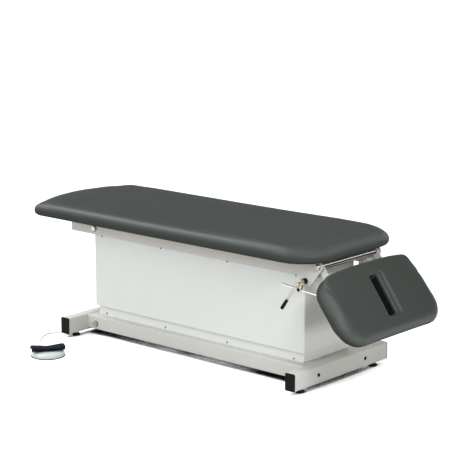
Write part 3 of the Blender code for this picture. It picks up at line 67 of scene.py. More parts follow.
# The table's own frame: middle of its base, on the floor
NEAR_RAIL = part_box("base_rail_near")
FAR_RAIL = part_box("base_rail_far")
CENTRE = Vector((
    (NEAR_RAIL[0].x + NEAR_RAIL[1].x) / 2, (NEAR_RAIL[0].y + FAR_RAIL[1].y) / 2, 0
))
JOINTS = {joint["name"]: joint for joint in frame["joints"]}
SLOT_OF = {part["node"]: part["material_slot"] for part in frame["record"]["subparts"]}
UP = Vector((0, 0, 1))
NEAR = Vector((0, -1, 0))
FAR = Vector((0, 1, 0))
SIDES = (("near", NEAR), ("far", FAR))
TURNED_OVER = Matrix.Rotation(math.pi, 4, "X")


def spot(x, y, z):
    """A place in the table's own frame."""
    return CENTRE + Vector((x, y, z))


def joint_place(name):
    return Vector(JOINTS[name]["pos_m"])


# The drop section's frame: x away from the hinge along the pad, z out of its lying surface
HANG = math.radians(JOINTS["drop"]["range_deg"][1])
HINGE = Vector((joint_place("drop").x, CENTRE.y, joint_place("drop").z))
DROP_FRAME = Matrix.Translation(HINGE) @ Matrix.Rotation(HANG, 4, "Y")
DROP_UP = DROP_FRAME.to_3x3() @ UP


def shade(red, green, blue):
    """A colour in linear light from its value on a screen, each part from 0 to 255."""
    parts = [part / 255 for part in (red, green, blue)]
    return tuple(p / 12.92 if p < 0.04045 else ((p + 0.055) / 1.055) ** 2.4 for p in parts)


def length_prop(name, description, default):
    return FloatProperty(
        name=name, description=description, default=default, min=0, precision=4, unit="LENGTH"
    )


def level_prop(name, description, default, unit="NONE"):
    return FloatProperty(name=name, description=description, default=default, min=0, unit=unit)


def colour_prop(name, description, default):
    return FloatVectorProperty(
        name=name, description=description, default=default, size=3, min=0, max=1, subtype="COLOR"
    )


class StageLooks(PropertyGroup):
    """Floor, light and camera."""

    floor_size: length_prop("Floor", "Side of the square floor", 60.0)
    floor_colour: colour_prop("Floor Colour", "Pale floor", (0.6, 0.6, 0.6))
    floor_bounce: colour_prop("Floor Bounce", "Colour the floor throws back", (0.42, 0.42, 0.42))
    sky_level: level_prop("Sky", "Level of the even light all round", 0.45)
    key_power: level_prop("Key", "Power of the softbox over the tail", 180.0, "POWER")
    fill_power: level_prop("Fill", "Power of the softbox at the near side", 178.0, "POWER")
    head_power: level_prop("Head", "Power of the softbox over the drop section", 20.0, "POWER")
    end_power: level_prop("End", "Power of the low softbox beyond the head end", 22.0, "POWER")
    lens: level_prop("Lens", "Focal length on a 36 mm sensor", 130.52, "CAMERA")


class UpholsteryLooks(PropertyGroup):
    """Cushions and their undersides."""

    vinyl: colour_prop("Vinyl", "Slate vinyl of both cushions", shade(60, 65, 62))
    main_weave: length_prop("Main Mesh", "Mesh size of the main cushion", 0.0102)
    drop_weave: length_prop("Drop Mesh", "Mesh size of the drop cushion", 0.0042)
    crown: length_prop("Crown", "Rise of a cushion's middle over its edges", 0.010)
    puff: length_prop("Puff", "Furthest that the filling pushes the vinyl out", 0.004)
    pressure: level_prop("Pressure", "Pressure of the filling", 4.0)
    hem_outside: length_prop("Hem Outside", "Hem's width outside the board's edge", 0.007)
    hem_inside: length_prop("Hem Inside", "Hem's width on the main board", 0.028)
    drop_hem_inside: length_prop("Drop Hem Inside", "Hem's width on the drop board", 0.010)
    hem_thickness: length_prop("Hem Thickness", "Thickness of the folded vinyl", 0.0008)
    staple_step: length_prop("Staple Step", "Distance between staples", 0.045)


class HardwareLooks(PropertyGroup):
    """Screws, bolts and welds."""

    screw_radius: length_prop("Screw Radius", "Radius of a panel screw's head", 0.0044)
    screw_height: length_prop("Screw Height", "Height of a panel screw's head", 0.0026)
    bolt_flats: length_prop("Bolt Flats", "Size across a pivot bolt's flats", 0.0212)
    bead_radius: length_prop("Weld Radius", "Radius of a weld bead", 0.0026)
    bead_pitch: length_prop("Weld Pitch", "Distance between a weld's ripples", 0.0026)


class FrameLooks(PropertyGroup):
    """Colours of the frame and its plastics."""

    coat: colour_prop("Frame Coat", "Putty grey powder coat", shade(207, 207, 202))
    shroud: colour_prop("Shroud Coat", "Pale powder coat of the skirts", shade(228, 232, 229))
    plastic: colour_prop("Plastic", "Black moulded plastic", shade(8, 8, 8))
    shell: colour_prop("Switch Shell", "Pale foot switch", shade(208, 217, 210))
    pedal: colour_prop("Pedal", "Navy pedal", shade(10, 15, 30))
    cord: colour_prop("Cord", "Off-white cord", shade(224, 222, 212))
    cord_diameter: length_prop("Cord Diameter", "Diameter of the switch's cord", 0.005)


class TableLooks(PropertyGroup):
    """All settings of the treatment table's looks."""

    stage: PointerProperty(type=StageLooks)
    upholstery: PointerProperty(type=UpholsteryLooks)
    hardware: PointerProperty(type=HardwareLooks)
    frame: PointerProperty(type=FrameLooks)


def looks():
    return bpy.context.scene.table_looks


def clear_selection():
    """Object mode with nothing selected."""
    active = bpy.context.view_layer.objects.active
    if active and active.mode != "OBJECT":
        bpy.ops.object.mode_set(mode="OBJECT")
    bpy.ops.object.select_all(action="DESELECT")


def choose(*pieces):
    """Select these pieces alone. The first one is active."""
    clear_selection()
    for piece in pieces:
        piece.select_set(True)
    bpy.context.view_layer.objects.active = pieces[0]


def added(name):
    """The primitive just added, named, with its place in its mesh."""
    piece = bpy.context.object
    piece.name = name
    bpy.ops.object.transform_apply(location=True, rotation=True, scale=True)
    return piece


def cylinder(name, radius, low, high, sides):
    """A start for a turned piece: a cylinder along Z between two levels."""
    clear_selection()
    bpy.ops.mesh.primitive_cylinder_add(
        vertices=sides, radius=radius, depth=high - low, location=(0, 0, (low + high) / 2)
    )
    return added(name)


def block(name, size, middle=(0, 0, 0)):
    """A start for a square piece: a cube of that size."""
    clear_selection()
    bpy.ops.mesh.primitive_cube_add(size=1, location=middle, scale=size)
    return added(name)


# Points closer than the first are merged, or than the second in the frame's loose triangles. An
# edge whose ends differ in height by more than the third isn't level.
MERGED = 1e-6
FRAME_MERGED = 1e-5
LEVEL = 1e-5


class Shaping:
    """Edit mode on one piece, with nothing selected at the start."""

    def __init__(self, piece):
        self.piece = piece

    def __enter__(self):
        choose(self.piece)
        bpy.ops.object.mode_set(mode="EDIT")
        bpy.ops.mesh.select_mode(type="FACE")
        bpy.ops.mesh.select_all(action="DESELECT")
        return self

    def __exit__(self, *_):
        bpy.ops.object.mode_set(mode="OBJECT")

    def pick(self, kind, test):
        """Select the faces or edges that pass a test, and no others."""
        bpy.ops.mesh.select_all(action="DESELECT")
        bpy.ops.mesh.select_mode(type=kind)
        mesh = bmesh.from_edit_mesh(self.piece.data)
        for element in mesh.faces if kind == "FACE" else mesh.edges:
            if test(element):
                element.select_set(True)
        bmesh.update_edit_mesh(self.piece.data)

    def faces(self, test):
        """Select the faces whose middle and normal pass a test."""
        self.pick("FACE", lambda face: test(face.calc_center_median(), face.normal))

    def edges(self, test):
        """Select the edges whose two ends pass a test."""
        self.pick("EDGE", lambda edge: test(edge.verts[0].co, edge.verts[1].co))

    def upright(self, offset, segments):
        """Round the edges that run up and down."""
        self.edges(lambda a, b: abs(a.z - b.z) > LEVEL)
        self.round(offset, segments)

    def rim(self, level, offset, segments):
        """Round the edges that lie at a level."""
        self.edges(lambda a, b: abs(a.z - level) < MERGED and abs(b.z - level) < MERGED)
        self.round(offset, segments)

    def round(self, offset, segments):
        """Round the edges that are selected."""
        bpy.ops.mesh.bevel(offset=offset, segments=segments, affect="EDGES")

    def extrude(self, push):
        """Extrude the faces that are selected."""
        bpy.ops.mesh.extrude_region_move(TRANSFORM_OT_translate={"value": push})

    def dish(self, margin, depth):
        """Sink the middle of the faces that are selected."""
        bpy.ops.mesh.inset(thickness=margin)
        bpy.ops.transform.translate(value=(0, 0, -depth))

    def tidy(self):
        """Merge doubles and turn every face outwards."""
        bpy.ops.mesh.select_all(action="SELECT")
        bpy.ops.mesh.remove_doubles(threshold=MERGED)
        bpy.ops.mesh.normals_make_consistent(inside=False)


def apply_modifier(piece, kind, **settings):
    choose(piece)
    modifier = piece.modifiers.new(kind.title(), kind)
    for name, value in settings.items():
        setattr(modifier, name, value)
    bpy.ops.object.modifier_apply(modifier=modifier.name)


# How far a cutting tool runs past the piece
CUT_PAST = 0.001


def carve(piece, tool, operation="DIFFERENCE"):
    """Cut a tool out of a piece, or keep what they share. The tool is used up."""
    apply_modifier(piece, "BOOLEAN", operation=operation, object=tool, solver="EXACT")
    bpy.data.objects.remove(tool)


def smooth(piece, degrees):
    choose(piece)
    bpy.ops.object.shade_smooth_by_angle(angle=math.radians(degrees))


def ease(piece, width, segments, degrees):
    """Bevel a finished piece's sharp edges, and shade it smooth."""
    apply_modifier(piece, "BEVEL", width=width, segments=segments, limit_method="ANGLE")
    smooth(piece, degrees)


def facing(place, direction, turn=0.0):
    """Takes a piece modelled on the floor, pointing up, to a place where it points that way."""
    lean = UP.rotation_difference(Vector(direction)).to_matrix().to_4x4()
    return Matrix.Translation(Vector(place)) @ lean @ Matrix.Rotation(turn, 4, "Z")


def settle(piece, body, finish):
    """Give a finished piece its body and its material."""
    piece.data.materials.clear()
    piece.data.materials.append(material_for(finish))
    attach(piece, body)


def copies(master, name, places, body, slot, finish=None, joined=False):
    """Copies of a modelled piece at the given places, one piece each or joined into one.

    The finish is the slot's own where no other is given.
    """
    made = []
    for count, place in enumerate(places, 1):
        mesh = master.data.copy()
        mesh.transform(place)
        piece = bpy.data.objects.new(f"{name}_{count}", mesh)
        bpy.context.scene.collection.objects.link(piece)
        made.append(piece)
    bpy.data.objects.remove(master)
    if joined:
        choose(*made)
        bpy.ops.object.join()
        made = made[:1]
        made[0].name = name
    for piece in made:
        settle(piece, body, finish or slot)


def single(master, name, place, body, slot, finish=None):
    """A modelled piece that is needed once, at its place."""
    copies(master, name, [place], body, slot, finish, joined=True)


# Materials


def node(tree, kind, inputs=None, **settings):
    """A new node. An input's value is a constant, or a socket to link."""
    made = tree.nodes.new("ShaderNode" + kind)
    for name, value in settings.items():
        setattr(made, name, value)
    for name, value in (inputs or {}).items():
        if isinstance(value, bpy.types.NodeSocket):
            tree.links.new(value, made.inputs[name])
        else:
            made.inputs[name].default_value = value
    return made


def maths(tree, operation, a, b=0.0):
    return node(tree, "Math", {0: a, 1: b}, operation=operation).outputs[0]


def mixed(tree, factor, first, second):
    """The first colour, with some of the second laid over it."""
    pair = [c if isinstance(c, bpy.types.NodeSocket) else (*c, 1) for c in (first, second)]
    return node(tree, "Mix", {0: factor, 6: pair[0], 7: pair[1]}, data_type="RGBA").outputs[2]


def ramp(tree, value, stops):
    """Colours along a value. Each stop has a place and a colour."""
    made = node(tree, "ValToRGB", {"Fac": value})
    elements = made.color_ramp.elements
    while len(elements) < len(stops):
        elements.new(0.5)
    for element, (place, colour) in zip(elements, stops):
        element.position = place
        element.color = (*colour, 1)
    return made.outputs["Color"]


def spread_to(tree, value, low, high, new_low, new_high):
    """A value from one span taken to another, held at the ends."""
    inputs = {
        "Value": value, "From Min": low, "From Max": high, "To Min": new_low, "To Max": new_high
    }
    return node(tree, "MapRange", inputs).outputs["Result"]


def object_place(tree):
    return node(tree, "TexCoord").outputs["Object"]


def group_start(name, inputs, outputs):
    """A new node group with named sockets, and its two end nodes."""
    tree = bpy.data.node_groups.new(name, "ShaderNodeTree")
    for label, kind, default in inputs:
        socket = tree.interface.new_socket(label, in_out="INPUT", socket_type="NodeSocket" + kind)
        socket.default_value = default
    for label, kind in outputs:
        tree.interface.new_socket(label, in_out="OUTPUT", socket_type="NodeSocket" + kind)
    given = tree.nodes.new("NodeGroupInput").outputs
    return tree, given, tree.nodes.new("NodeGroupOutput").inputs


def speckle(tree, size, detail, roughness=0.5):
    """Noise whose patches are about one size across."""
    inputs = {
        "Vector": object_place(tree), "Scale": maths(tree, "DIVIDE", 1.0, size),
        "Detail": detail, "Roughness": roughness,
    }
    return node(tree, "TexNoise", inputs).outputs["Fac"]


def group_tone():
    """Uneven depth of colour."""
    inputs = [("Colour", "Color", (1, 1, 1, 1)), ("Spread", "Float", 0.05), ("Size", "Float", 0.1)]
    tree, given, out = group_start("uneven_tone", inputs, [("Colour", "Color")])
    patches = speckle(tree, given["Size"], 4.0, 0.6)
    low = maths(tree, "SUBTRACT", 1.0, given["Spread"])
    high = maths(tree, "ADD", 1.0, given["Spread"])
    value = spread_to(tree, patches, 0.3, 0.7, low, high)
    toned = node(tree, "HueSaturation", {"Value": value, "Color": given["Colour"]})
    tree.links.new(toned.outputs["Color"], out["Colour"])
    return tree


def group_peel():
    """Orange peel of a sprayed and baked coat, or the fine pits of moulded plastic."""
    inputs = [("Size", "Float", 0.002), ("Fine", "Float", 0.2)]
    tree, given, out = group_start("coat_peel", inputs, [("Height", "Float")])
    broad = speckle(tree, given["Size"], 1.0)
    fine = speckle(tree, maths(tree, "MULTIPLY", given["Size"], 0.22), 2.0)
    height = maths(tree, "ADD", broad, maths(tree, "MULTIPLY", fine, given["Fine"]))
    tree.links.new(height, out["Height"])
    return tree


def group_handling():
    """Roughness that changes where hands and cloths have been."""
    inputs = [("Low", "Float", 0.35), ("High", "Float", 0.5), ("Size", "Float", 0.08)]
    tree, given, out = group_start("handling", inputs, [("Roughness", "Float")])
    patches = speckle(tree, given["Size"], 5.0, 0.65)
    rough = spread_to(tree, patches, 0.32, 0.68, given["Low"], given["High"])
    tree.links.new(rough, out["Roughness"])
    return tree


def group_vinyl():
    """Pressed leather grain: small domed cells between creases, with finer pores."""
    inputs = [("Cell", "Float", 0.0016), ("Pores", "Float", 0.25)]
    outputs = [("Height", "Float"), ("Crease", "Float")]
    tree, given, out = group_start("vinyl_grain", inputs, outputs)
    place = object_place(tree)
    scale = maths(tree, "DIVIDE", 1.0, given["Cell"])
    wander = node(tree, "TexNoise", {
        "Vector": place, "Scale": maths(tree, "MULTIPLY", scale, 0.6), "Detail": 2.0
    }).outputs["Color"]
    push = node(tree, "VectorMath", {0: wander, 1: (0.5, 0.5, 0.5)}, operation="SUBTRACT")
    reach = node(
        tree, "VectorMath", {0: push.outputs["Vector"], "Scale": given["Cell"]}, operation="SCALE"
    )
    bent = node(tree, "VectorMath", {0: place, 1: reach.outputs["Vector"]}, operation="ADD")
    cells = node(
        tree, "TexVoronoi", {"Vector": bent.outputs["Vector"], "Scale": scale},
        feature="DISTANCE_TO_EDGE",
    ).outputs["Distance"]
    dome = spread_to(tree, cells, 0.0, 0.28, 0.0, 1.0)
    pores = speckle(tree, maths(tree, "MULTIPLY", given["Cell"], 0.25), 2.0)
    height = maths(tree, "ADD", dome, maths(tree, "MULTIPLY", pores, given["Pores"]))
    tree.links.new(height, out["Height"])
    # Crease is 1 between the grain's cells; it drives a painted shade in the creases
    tree.links.new(spread_to(tree, cells, 0.0, 0.10, 1.0, 0.0), out["Crease"])
    return tree


def group_stretch():
    """1 on a shoulder that the cover is pulled round, 0 where it lies flat or turns under."""
    inputs = [("Up", "Vector", (0, 0, 1))]
    tree, given, out = group_start("stretched_edge", inputs, [("Stretch", "Float")])
    normal = node(tree, "TexCoord").outputs["Normal"]
    level = node(tree, "VectorMath", {0: normal, 1: given["Up"]}, operation="DOT_PRODUCT")
    pulled = spread_to(tree, level.outputs["Value"], 0.995, 0.85, 0.0, 1.0)
    over = spread_to(tree, level.outputs["Value"], 0.15, 0.65, 0.0, 1.0)
    tree.links.new(maths(tree, "MULTIPLY", pulled, over), out["Stretch"])
    return tree


def group_marks():
    """Fine marks that drawing or turning leaves in metal."""
    tree, given, out = group_start("tool_marks", [("Size", "Float", 0.0006)], [("Height", "Float")])
    tree.links.new(speckle(tree, given["Size"], 3.0, 0.6), out["Height"])
    return tree


def group_scuffs():
    """A broken mask of scuffs and dust, strongest at the floor."""
    inputs = [("Reach", "Float", 0.06), ("Size", "Float", 0.02)]
    tree, given, out = group_start("floor_scuffs", inputs, [("Mask", "Float")])
    level = node(tree, "SeparateXYZ", {0: object_place(tree)}).outputs["Z"]
    low = spread_to(tree, level, 0.0, given["Reach"], 1.0, 0.0)
    broken = spread_to(tree, speckle(tree, given["Size"], 6.0, 0.7), 0.42, 0.7, 0.0, 1.0)
    tree.links.new(maths(tree, "MULTIPLY", low, broken), out["Mask"])
    return tree


def group_plies():
    """Plywood: thin layers through its thickness, with grain along each."""
    inputs = [("Across", "Vector", (0, 0, 1)), ("Ply", "Float", 0.0024)]
    outputs = [("Colour", "Color"), ("Height", "Float")]
    tree, given, out = group_start("plywood_layers", inputs, outputs)
    place = object_place(tree)
    depth = node(tree, "VectorMath", {0: place, 1: given["Across"]}, operation="DOT_PRODUCT")
    layer = maths(tree, "FLOOR", maths(tree, "DIVIDE", depth.outputs["Value"], given["Ply"]))
    odd = maths(tree, "ABSOLUTE", maths(tree, "MODULO", layer, 2.0))
    stretched = node(tree, "VectorMath", {0: place, 1: (6, 90, 90)}, operation="MULTIPLY")
    grain = node(tree, "TexNoise", {
        "Vector": stretched.outputs["Vector"], "Scale": 2.2, "Detail": 6.0, "Roughness": 0.62,
        "Distortion": 0.6,
    }).outputs["Fac"]
    wood = ramp(tree, grain, ((0.30, shade(176, 138, 96)), (0.72, shade(214, 182, 138))))
    value = spread_to(tree, odd, 0.0, 1.0, 1.0, 0.72)
    toned = node(tree, "HueSaturation", {"Value": value, "Color": wood})
    tree.links.new(toned.outputs["Color"], out["Colour"])
    tree.links.new(grain, out["Height"])
    return tree


GROUPS = {
    "uneven_tone": group_tone, "coat_peel": group_peel, "handling": group_handling,
    "vinyl_grain": group_vinyl, "tool_marks": group_marks, "floor_scuffs": group_scuffs,
    "plywood_layers": group_plies, "stretched_edge": group_stretch,
}


def effect(tree, name, inputs):
    """One of the shared node groups, placed in a material with its own values."""
    group = bpy.data.node_groups.get(name) or GROUPS[name]()
    return node(tree, "Group", inputs, node_tree=group).outputs


def start_finish(name, **plain):
    """A new material whose plain values stand on the shader's own sockets."""
    material = bpy.data.materials.new(name)
    material.use_nodes = True
    shader = material.node_tree.nodes["Principled BSDF"]
    for label, value in plain.items():
        shader.inputs[label.replace("_", " ")].default_value = value
    return material, material.node_tree, shader.inputs


def raise_height(tree, shader, height, strength, distance):
    bump = node(tree, "Bump", {"Height": height, "Strength": strength, "Distance": distance})
    tree.links.new(bump.outputs["Normal"], shader["Normal"])


def wear(tree, shader, colour, spread, patch, low, high, mark):
    """Uneven colour, and a roughness that hands have changed."""
    toned = effect(tree, "uneven_tone", {"Colour": colour, "Spread": spread, "Size": patch})
    tree.links.new(toned["Colour"], shader["Base Color"])
    worn = effect(tree, "handling", {"Low": low, "High": high, "Size": mark})
    tree.links.new(worn["Roughness"], shader["Roughness"])


def coat_finish(name, colour, size, spread, rough, scuffed):
    """A baked powder coat, scuffed near the floor where it stands there."""
    material, tree, shader = start_finish(name, Specular_IOR_Level=0.45)
    toned = effect(
        tree, "uneven_tone", {"Colour": (*colour, 1), "Spread": spread, "Size": 0.22}
    )["Colour"]
    if scuffed:
        mask = effect(tree, "floor_scuffs", {"Reach": 0.075, "Size": 0.016})["Mask"]
        dirty = tuple(part * 0.55 for part in colour)
        toned = mixed(tree, maths(tree, "MULTIPLY", mask, 0.28), toned, dirty)
    tree.links.new(toned, shader["Base Color"])
    worn = effect(tree, "handling", {"Low": rough - 0.06, "High": rough + 0.07, "Size": 0.09})
    tree.links.new(worn["Roughness"], shader["Roughness"])
    peel = effect(tree, "coat_peel", {"Size": size, "Fine": 0.25})["Height"]
    raise_height(tree, shader, peel, 0.35, 0.00012)
    return material


def vinyl(name, up):
    """Grained vinyl, matt where it lies flat and polished by use on its shoulders."""
    material, tree, shader = start_finish(name, Specular_IOR_Level=0.15, Coat_Roughness=0.50)
    colour = looks().upholstery.vinyl
    toned = effect(tree, "uneven_tone", {"Colour": (*colour, 1), "Spread": 0.02, "Size": 0.30})
    grain = effect(tree, "vinyl_grain", {"Cell": 0.0017, "Pores": 0.22})
    # Painted shade: the colour is darkened between the grain's cells, in its creases
    crease_shade_colour = tuple(part * 0.72 for part in colour)
    crease = maths(tree, "MULTIPLY", grain["Crease"], 0.55)
    tree.links.new(mixed(tree, crease, toned["Colour"], crease_shade_colour), shader["Base Color"])
    stretch = effect(tree, "stretched_edge", {"Up": up})["Stretch"]
    worn = effect(tree, "handling", {"Low": -0.03, "High": 0.03, "Size": 0.16})["Roughness"]
    rough = spread_to(tree, stretch, 0.0, 1.0, 0.92, 0.60)
    tree.links.new(maths(tree, "ADD", rough, worn), shader["Roughness"])
    tree.links.new(maths(tree, "MULTIPLY", stretch, 0.40), shader["Coat Weight"])
    raise_height(tree, shader, grain["Height"], 0.45, 0.00018)
    return material


def plywood_finish(name, across):
    material, tree, shader = start_finish(name, Roughness=0.72, Specular_IOR_Level=0.3)
    wood = effect(tree, "plywood_layers", {"Across": across, "Ply": 0.0024})
    tree.links.new(wood["Colour"], shader["Base Color"])
    raise_height(tree, shader, wood["Height"], 0.3, 0.0003)
    return material


def moulded_finish(name, colour, rough, gloss, pit, strength, spread=0.06):
    """Moulded plastic with fine pits from its tool."""
    material, tree, shader = start_finish(name, Specular_IOR_Level=gloss)
    wear(tree, shader, (*colour, 1), spread, 0.03, rough - 0.07, rough + 0.07, 0.02)
    pits = effect(tree, "coat_peel", {"Size": pit, "Fine": 0.5})["Height"]
    raise_height(tree, shader, pits, strength, 0.00012)
    return material


def metal_finish(name, colour, low, high, strength, spread):
    """Bare or plated metal with tool marks and finger marks."""
    material, tree, shader = start_finish(name, Metallic=1.0)
    wear(tree, shader, (*colour, 1), spread, 0.012, low, high, 0.010)
    marks = effect(tree, "tool_marks", {"Size": 0.0007})["Height"]
    raise_height(tree, shader, marks, strength, 0.00005)
    return material


def painted_light_rod_finish(name, tones):
    """A plated rod with painted light: its colour and metalness are dark round its middle and underside, with one
    grey band, and bright over its top, by which way the surface faces.
    """
    material, tree, shader = start_finish(name)
    normal = node(tree, "TexCoord").outputs["Normal"]
    level = node(tree, "SeparateXYZ", {0: normal}).outputs["Z"]
    stops = [(place, (tone, tone, tone)) for place, tone in tones]
    # Painted highlight over the top and painted shade below, from the surface's facing
    painted_bands = ramp(tree, spread_to(tree, level, -1.0, 1.0, 0.0, 1.0), stops)
    tree.links.new(painted_bands, shader["Metallic"])
    wear(tree, shader, painted_bands, 0.1, 0.012, 0.12, 0.30, 0.010)
    return material


# Painted highlight and painted shade on the hinge rod, from its underside to its top: how far up, and how bright
# the metal is there
ROD_PAINTED_LIGHT = ((0.26, 0.01), (0.32, 0.12), (0.36, 0.12), (0.41, 0.01), (0.58, 0.01), (0.66, 0.90))

FINISHES = {
    "powder_coat": lambda: coat_finish(
        "putty_powder_coat", looks().frame.coat, 0.0022, 0.025, 0.42, True
    ),
    "shroud_coat": lambda: coat_finish(
        "pale_shroud_coat", looks().frame.shroud, 0.0026, 0.012, 0.46, False
    ),
    "vinyl": lambda: vinyl("slate_vinyl", (0, 0, 1)),
    "drop_vinyl": lambda: vinyl("drop_slate_vinyl", tuple(DROP_UP)),
    # Near-black sheet for the breathing slot: painted shade
    "painted_shade_sheet": lambda: moulded_finish("black_lining", shade(24, 28, 24), 0.9, 0.05, 0.0009, 0.4),
    "plywood": lambda: plywood_finish("birch_plywood", (0, 0, 1)),
    "drop_plywood": lambda: plywood_finish("drop_birch_plywood", tuple(DROP_UP)),
    "black_plastic": lambda: moulded_finish(
        "black_moulded_plastic", looks().frame.plastic, 0.62, 0.12, 0.0011, 0.35
    ),
    "black_rubber": lambda: moulded_finish(
        "black_rubber", shade(20, 20, 20), 0.75, 0.18, 0.0016, 0.5
    ),
    "white_nylon": lambda: moulded_finish(
        "white_nylon", looks().frame.cord, 0.48, 0.35, 0.0012, 0.2, 0.03
    ),
    "switch_shell": lambda: moulded_finish(
        "pale_switch_shell", looks().frame.shell, 0.42, 0.35, 0.0014, 0.2, 0.015
    ),
    "navy_plastic": lambda: moulded_finish(
        "navy_pedal", looks().frame.pedal, 0.8, 0.15, 0.0012, 0.4
    ),
    "chrome": lambda: metal_finish("chrome_plate", (0.72, 0.72, 0.73), 0.06, 0.14, 0.01, 0.02),
    "zinc": lambda: metal_finish("zinc_plate", shade(196, 189, 168), 0.28, 0.42, 0.12, 0.10),
    "bright_steel": lambda: metal_finish(
        "bright_steel", shade(172, 170, 168), 0.24, 0.38, 0.12, 0.06
    ),
    "dark_steel": lambda: metal_finish(
        "dark_screw_steel", shade(122, 122, 120), 0.30, 0.45, 0.2, 0.10
    ),
    "greased_rod": lambda: painted_light_rod_finish("greased_rod", ROD_PAINTED_LIGHT),
}
OWN_FINISH = {"drop_board": "drop_plywood", "hinge_rod": "greased_rod"}
MADE = {}


def material_for(finish):
    """A finish's material, built when it is first asked for."""
    if finish not in MADE:
        MADE[finish] = FINISHES[finish]()
    return MADE[finish]


class TABLE_OT_stage(Operator):
    """Floor, sky, softboxes and the camera"""

    bl_idname = "treatment_table.stage"
    bl_label = "Stage"

    floor_level = -0.0003
    # Painted shadow on the floor: where ambient occlusion within this reach is low, under and beside the table,
    # the floor's colour goes to the near-black colour below and its glow goes out
    painted_shadow_reach = 0.6
    painted_shadow_span = (0.19, 0.295)
    painted_shadow_colour = (0.02, 0.02, 0.02)
    floor_glow = 0.8
    # Name, place, what it aims at, diameter and power
    softboxes = (
        ("tail_softbox", (-3.9, -0.3, 4.8), (0.0, 0.0, 0.5), 2.2, "key_power"),
        ("near_softbox", (-0.8, -5.1, 3.0), (0.0, 0.0, 0.35), 5.0, "fill_power"),
        ("head_softbox", (2.05, -0.85, 1.6), (0.9, 0.0, 0.35), 0.6, "head_power"),
        ("end_softbox", (3.6, 0.3, 0.35), (0.6, 0.0, 0.2), 0.6, "end_power"),
    )
    camera_place = (4.826, -5.4743, 2.1294)
    camera_dip = 12.167
    camera_round = 41.033
    sensor = 36
    far_clip = 200

    def execute(self, context):
        stage = looks().stage
        self.add_floor(stage)
        self.add_sky(context, stage)
        for name, place, aim, size, power in self.softboxes:
            self.add_softbox(name, spot(*place), spot(*aim), size, getattr(stage, power))
        self.add_camera(context, stage)
        context.scene.view_settings.view_transform = "Standard"
        return {"FINISHED"}

    def seen_plainly(self, tree):
        """1 for what the camera, a mirror or glass sees."""
        path = node(tree, "LightPath").outputs
        seen = maths(tree, "MAXIMUM", path["Is Camera Ray"], path["Is Glossy Ray"])
        return maths(tree, "MAXIMUM", seen, path["Is Transmission Ray"])

    def add_floor(self, stage):
        clear_selection()
        bpy.ops.mesh.primitive_plane_add(size=stage.floor_size, location=(0, 0, self.floor_level))
        floor = added("studio_floor")
        material = bpy.data.materials.new("studio_floor")
        material.use_nodes = True
        tree = material.node_tree
        tree.nodes.clear()
        # Painted shadow: the floor's colour and glow follow ambient occlusion
        inputs = {"Distance": self.painted_shadow_reach}
        painted_shadow = node(tree, "AmbientOcclusion", inputs, samples=16).outputs["AO"]
        unshadowed = spread_to(tree, painted_shadow, *self.painted_shadow_span, 0.0, 1.0)
        pale = mixed(tree, unshadowed, self.painted_shadow_colour, stage.floor_colour)
        white = node(tree, "BsdfDiffuse", {"Color": pale}).outputs[0]
        strength = maths(tree, "MULTIPLY", unshadowed, self.floor_glow)
        glow = node(tree, "Emission", {"Strength": strength}).outputs[0]
        lit = node(tree, "AddShader", {0: white, 1: glow}).outputs[0]
        dull = node(tree, "BsdfDiffuse", {"Color": (*stage.floor_bounce, 1)}).outputs[0]
        both = node(tree, "MixShader", {0: self.seen_plainly(tree), 1: dull, 2: lit}).outputs[0]
        node(tree, "OutputMaterial", {"Surface": both})
        floor.data.materials.append(material)

    def add_sky(self, context, stage):
        world = bpy.data.worlds.new("white_studio")
        context.scene.world = world
        world.use_nodes = True
        tree = world.node_tree
        tree.nodes.clear()
        soft, white = (
            node(tree, "Background", {"Color": (1, 1, 1, 1), "Strength": level}).outputs[0]
            for level in (stage.sky_level, 1.0)
        )
        both = node(tree, "MixShader", {0: self.seen_plainly(tree), 1: soft, 2: white}).outputs[0]
        node(tree, "OutputWorld", {"Surface": both})

    def add_softbox(self, name, place, aim, size, power):
        clear_selection()
        turn = (aim - place).to_track_quat("-Z", "Y").to_euler()
        bpy.ops.object.light_add(type="AREA", location=place, rotation=turn)
        lamp = bpy.context.object
        lamp.name = name
        lamp.data.shape = "DISK"
        lamp.data.size = size
        lamp.data.energy = power
        lamp.visible_camera = False

    def add_camera(self, context, stage):
        clear_selection()
        bpy.ops.object.camera_add(
            location=spot(*self.camera_place),
            rotation=(math.radians(90 - self.camera_dip), 0, math.radians(self.camera_round)),
        )
        camera = context.object
        camera.name = "viewpoint"
        camera.data.sensor_width = self.sensor
        camera.data.lens = stage.lens
        camera.data.clip_end = self.far_clip
        context.scene.camera = camera


class TABLE_OT_finishes(Operator):
    """Finishes of the frame's own pieces"""

    bl_idname = "treatment_table.finishes"
    bl_label = "Frame Finishes"

    def execute(self, context):
        for name, piece in frame["nodes"].items():
            finish = OWN_FINISH.get(name, SLOT_OF[name])
            for slot in piece.material_slots:
                slot.material = material_for(finish)
        return {"FINISHED"}


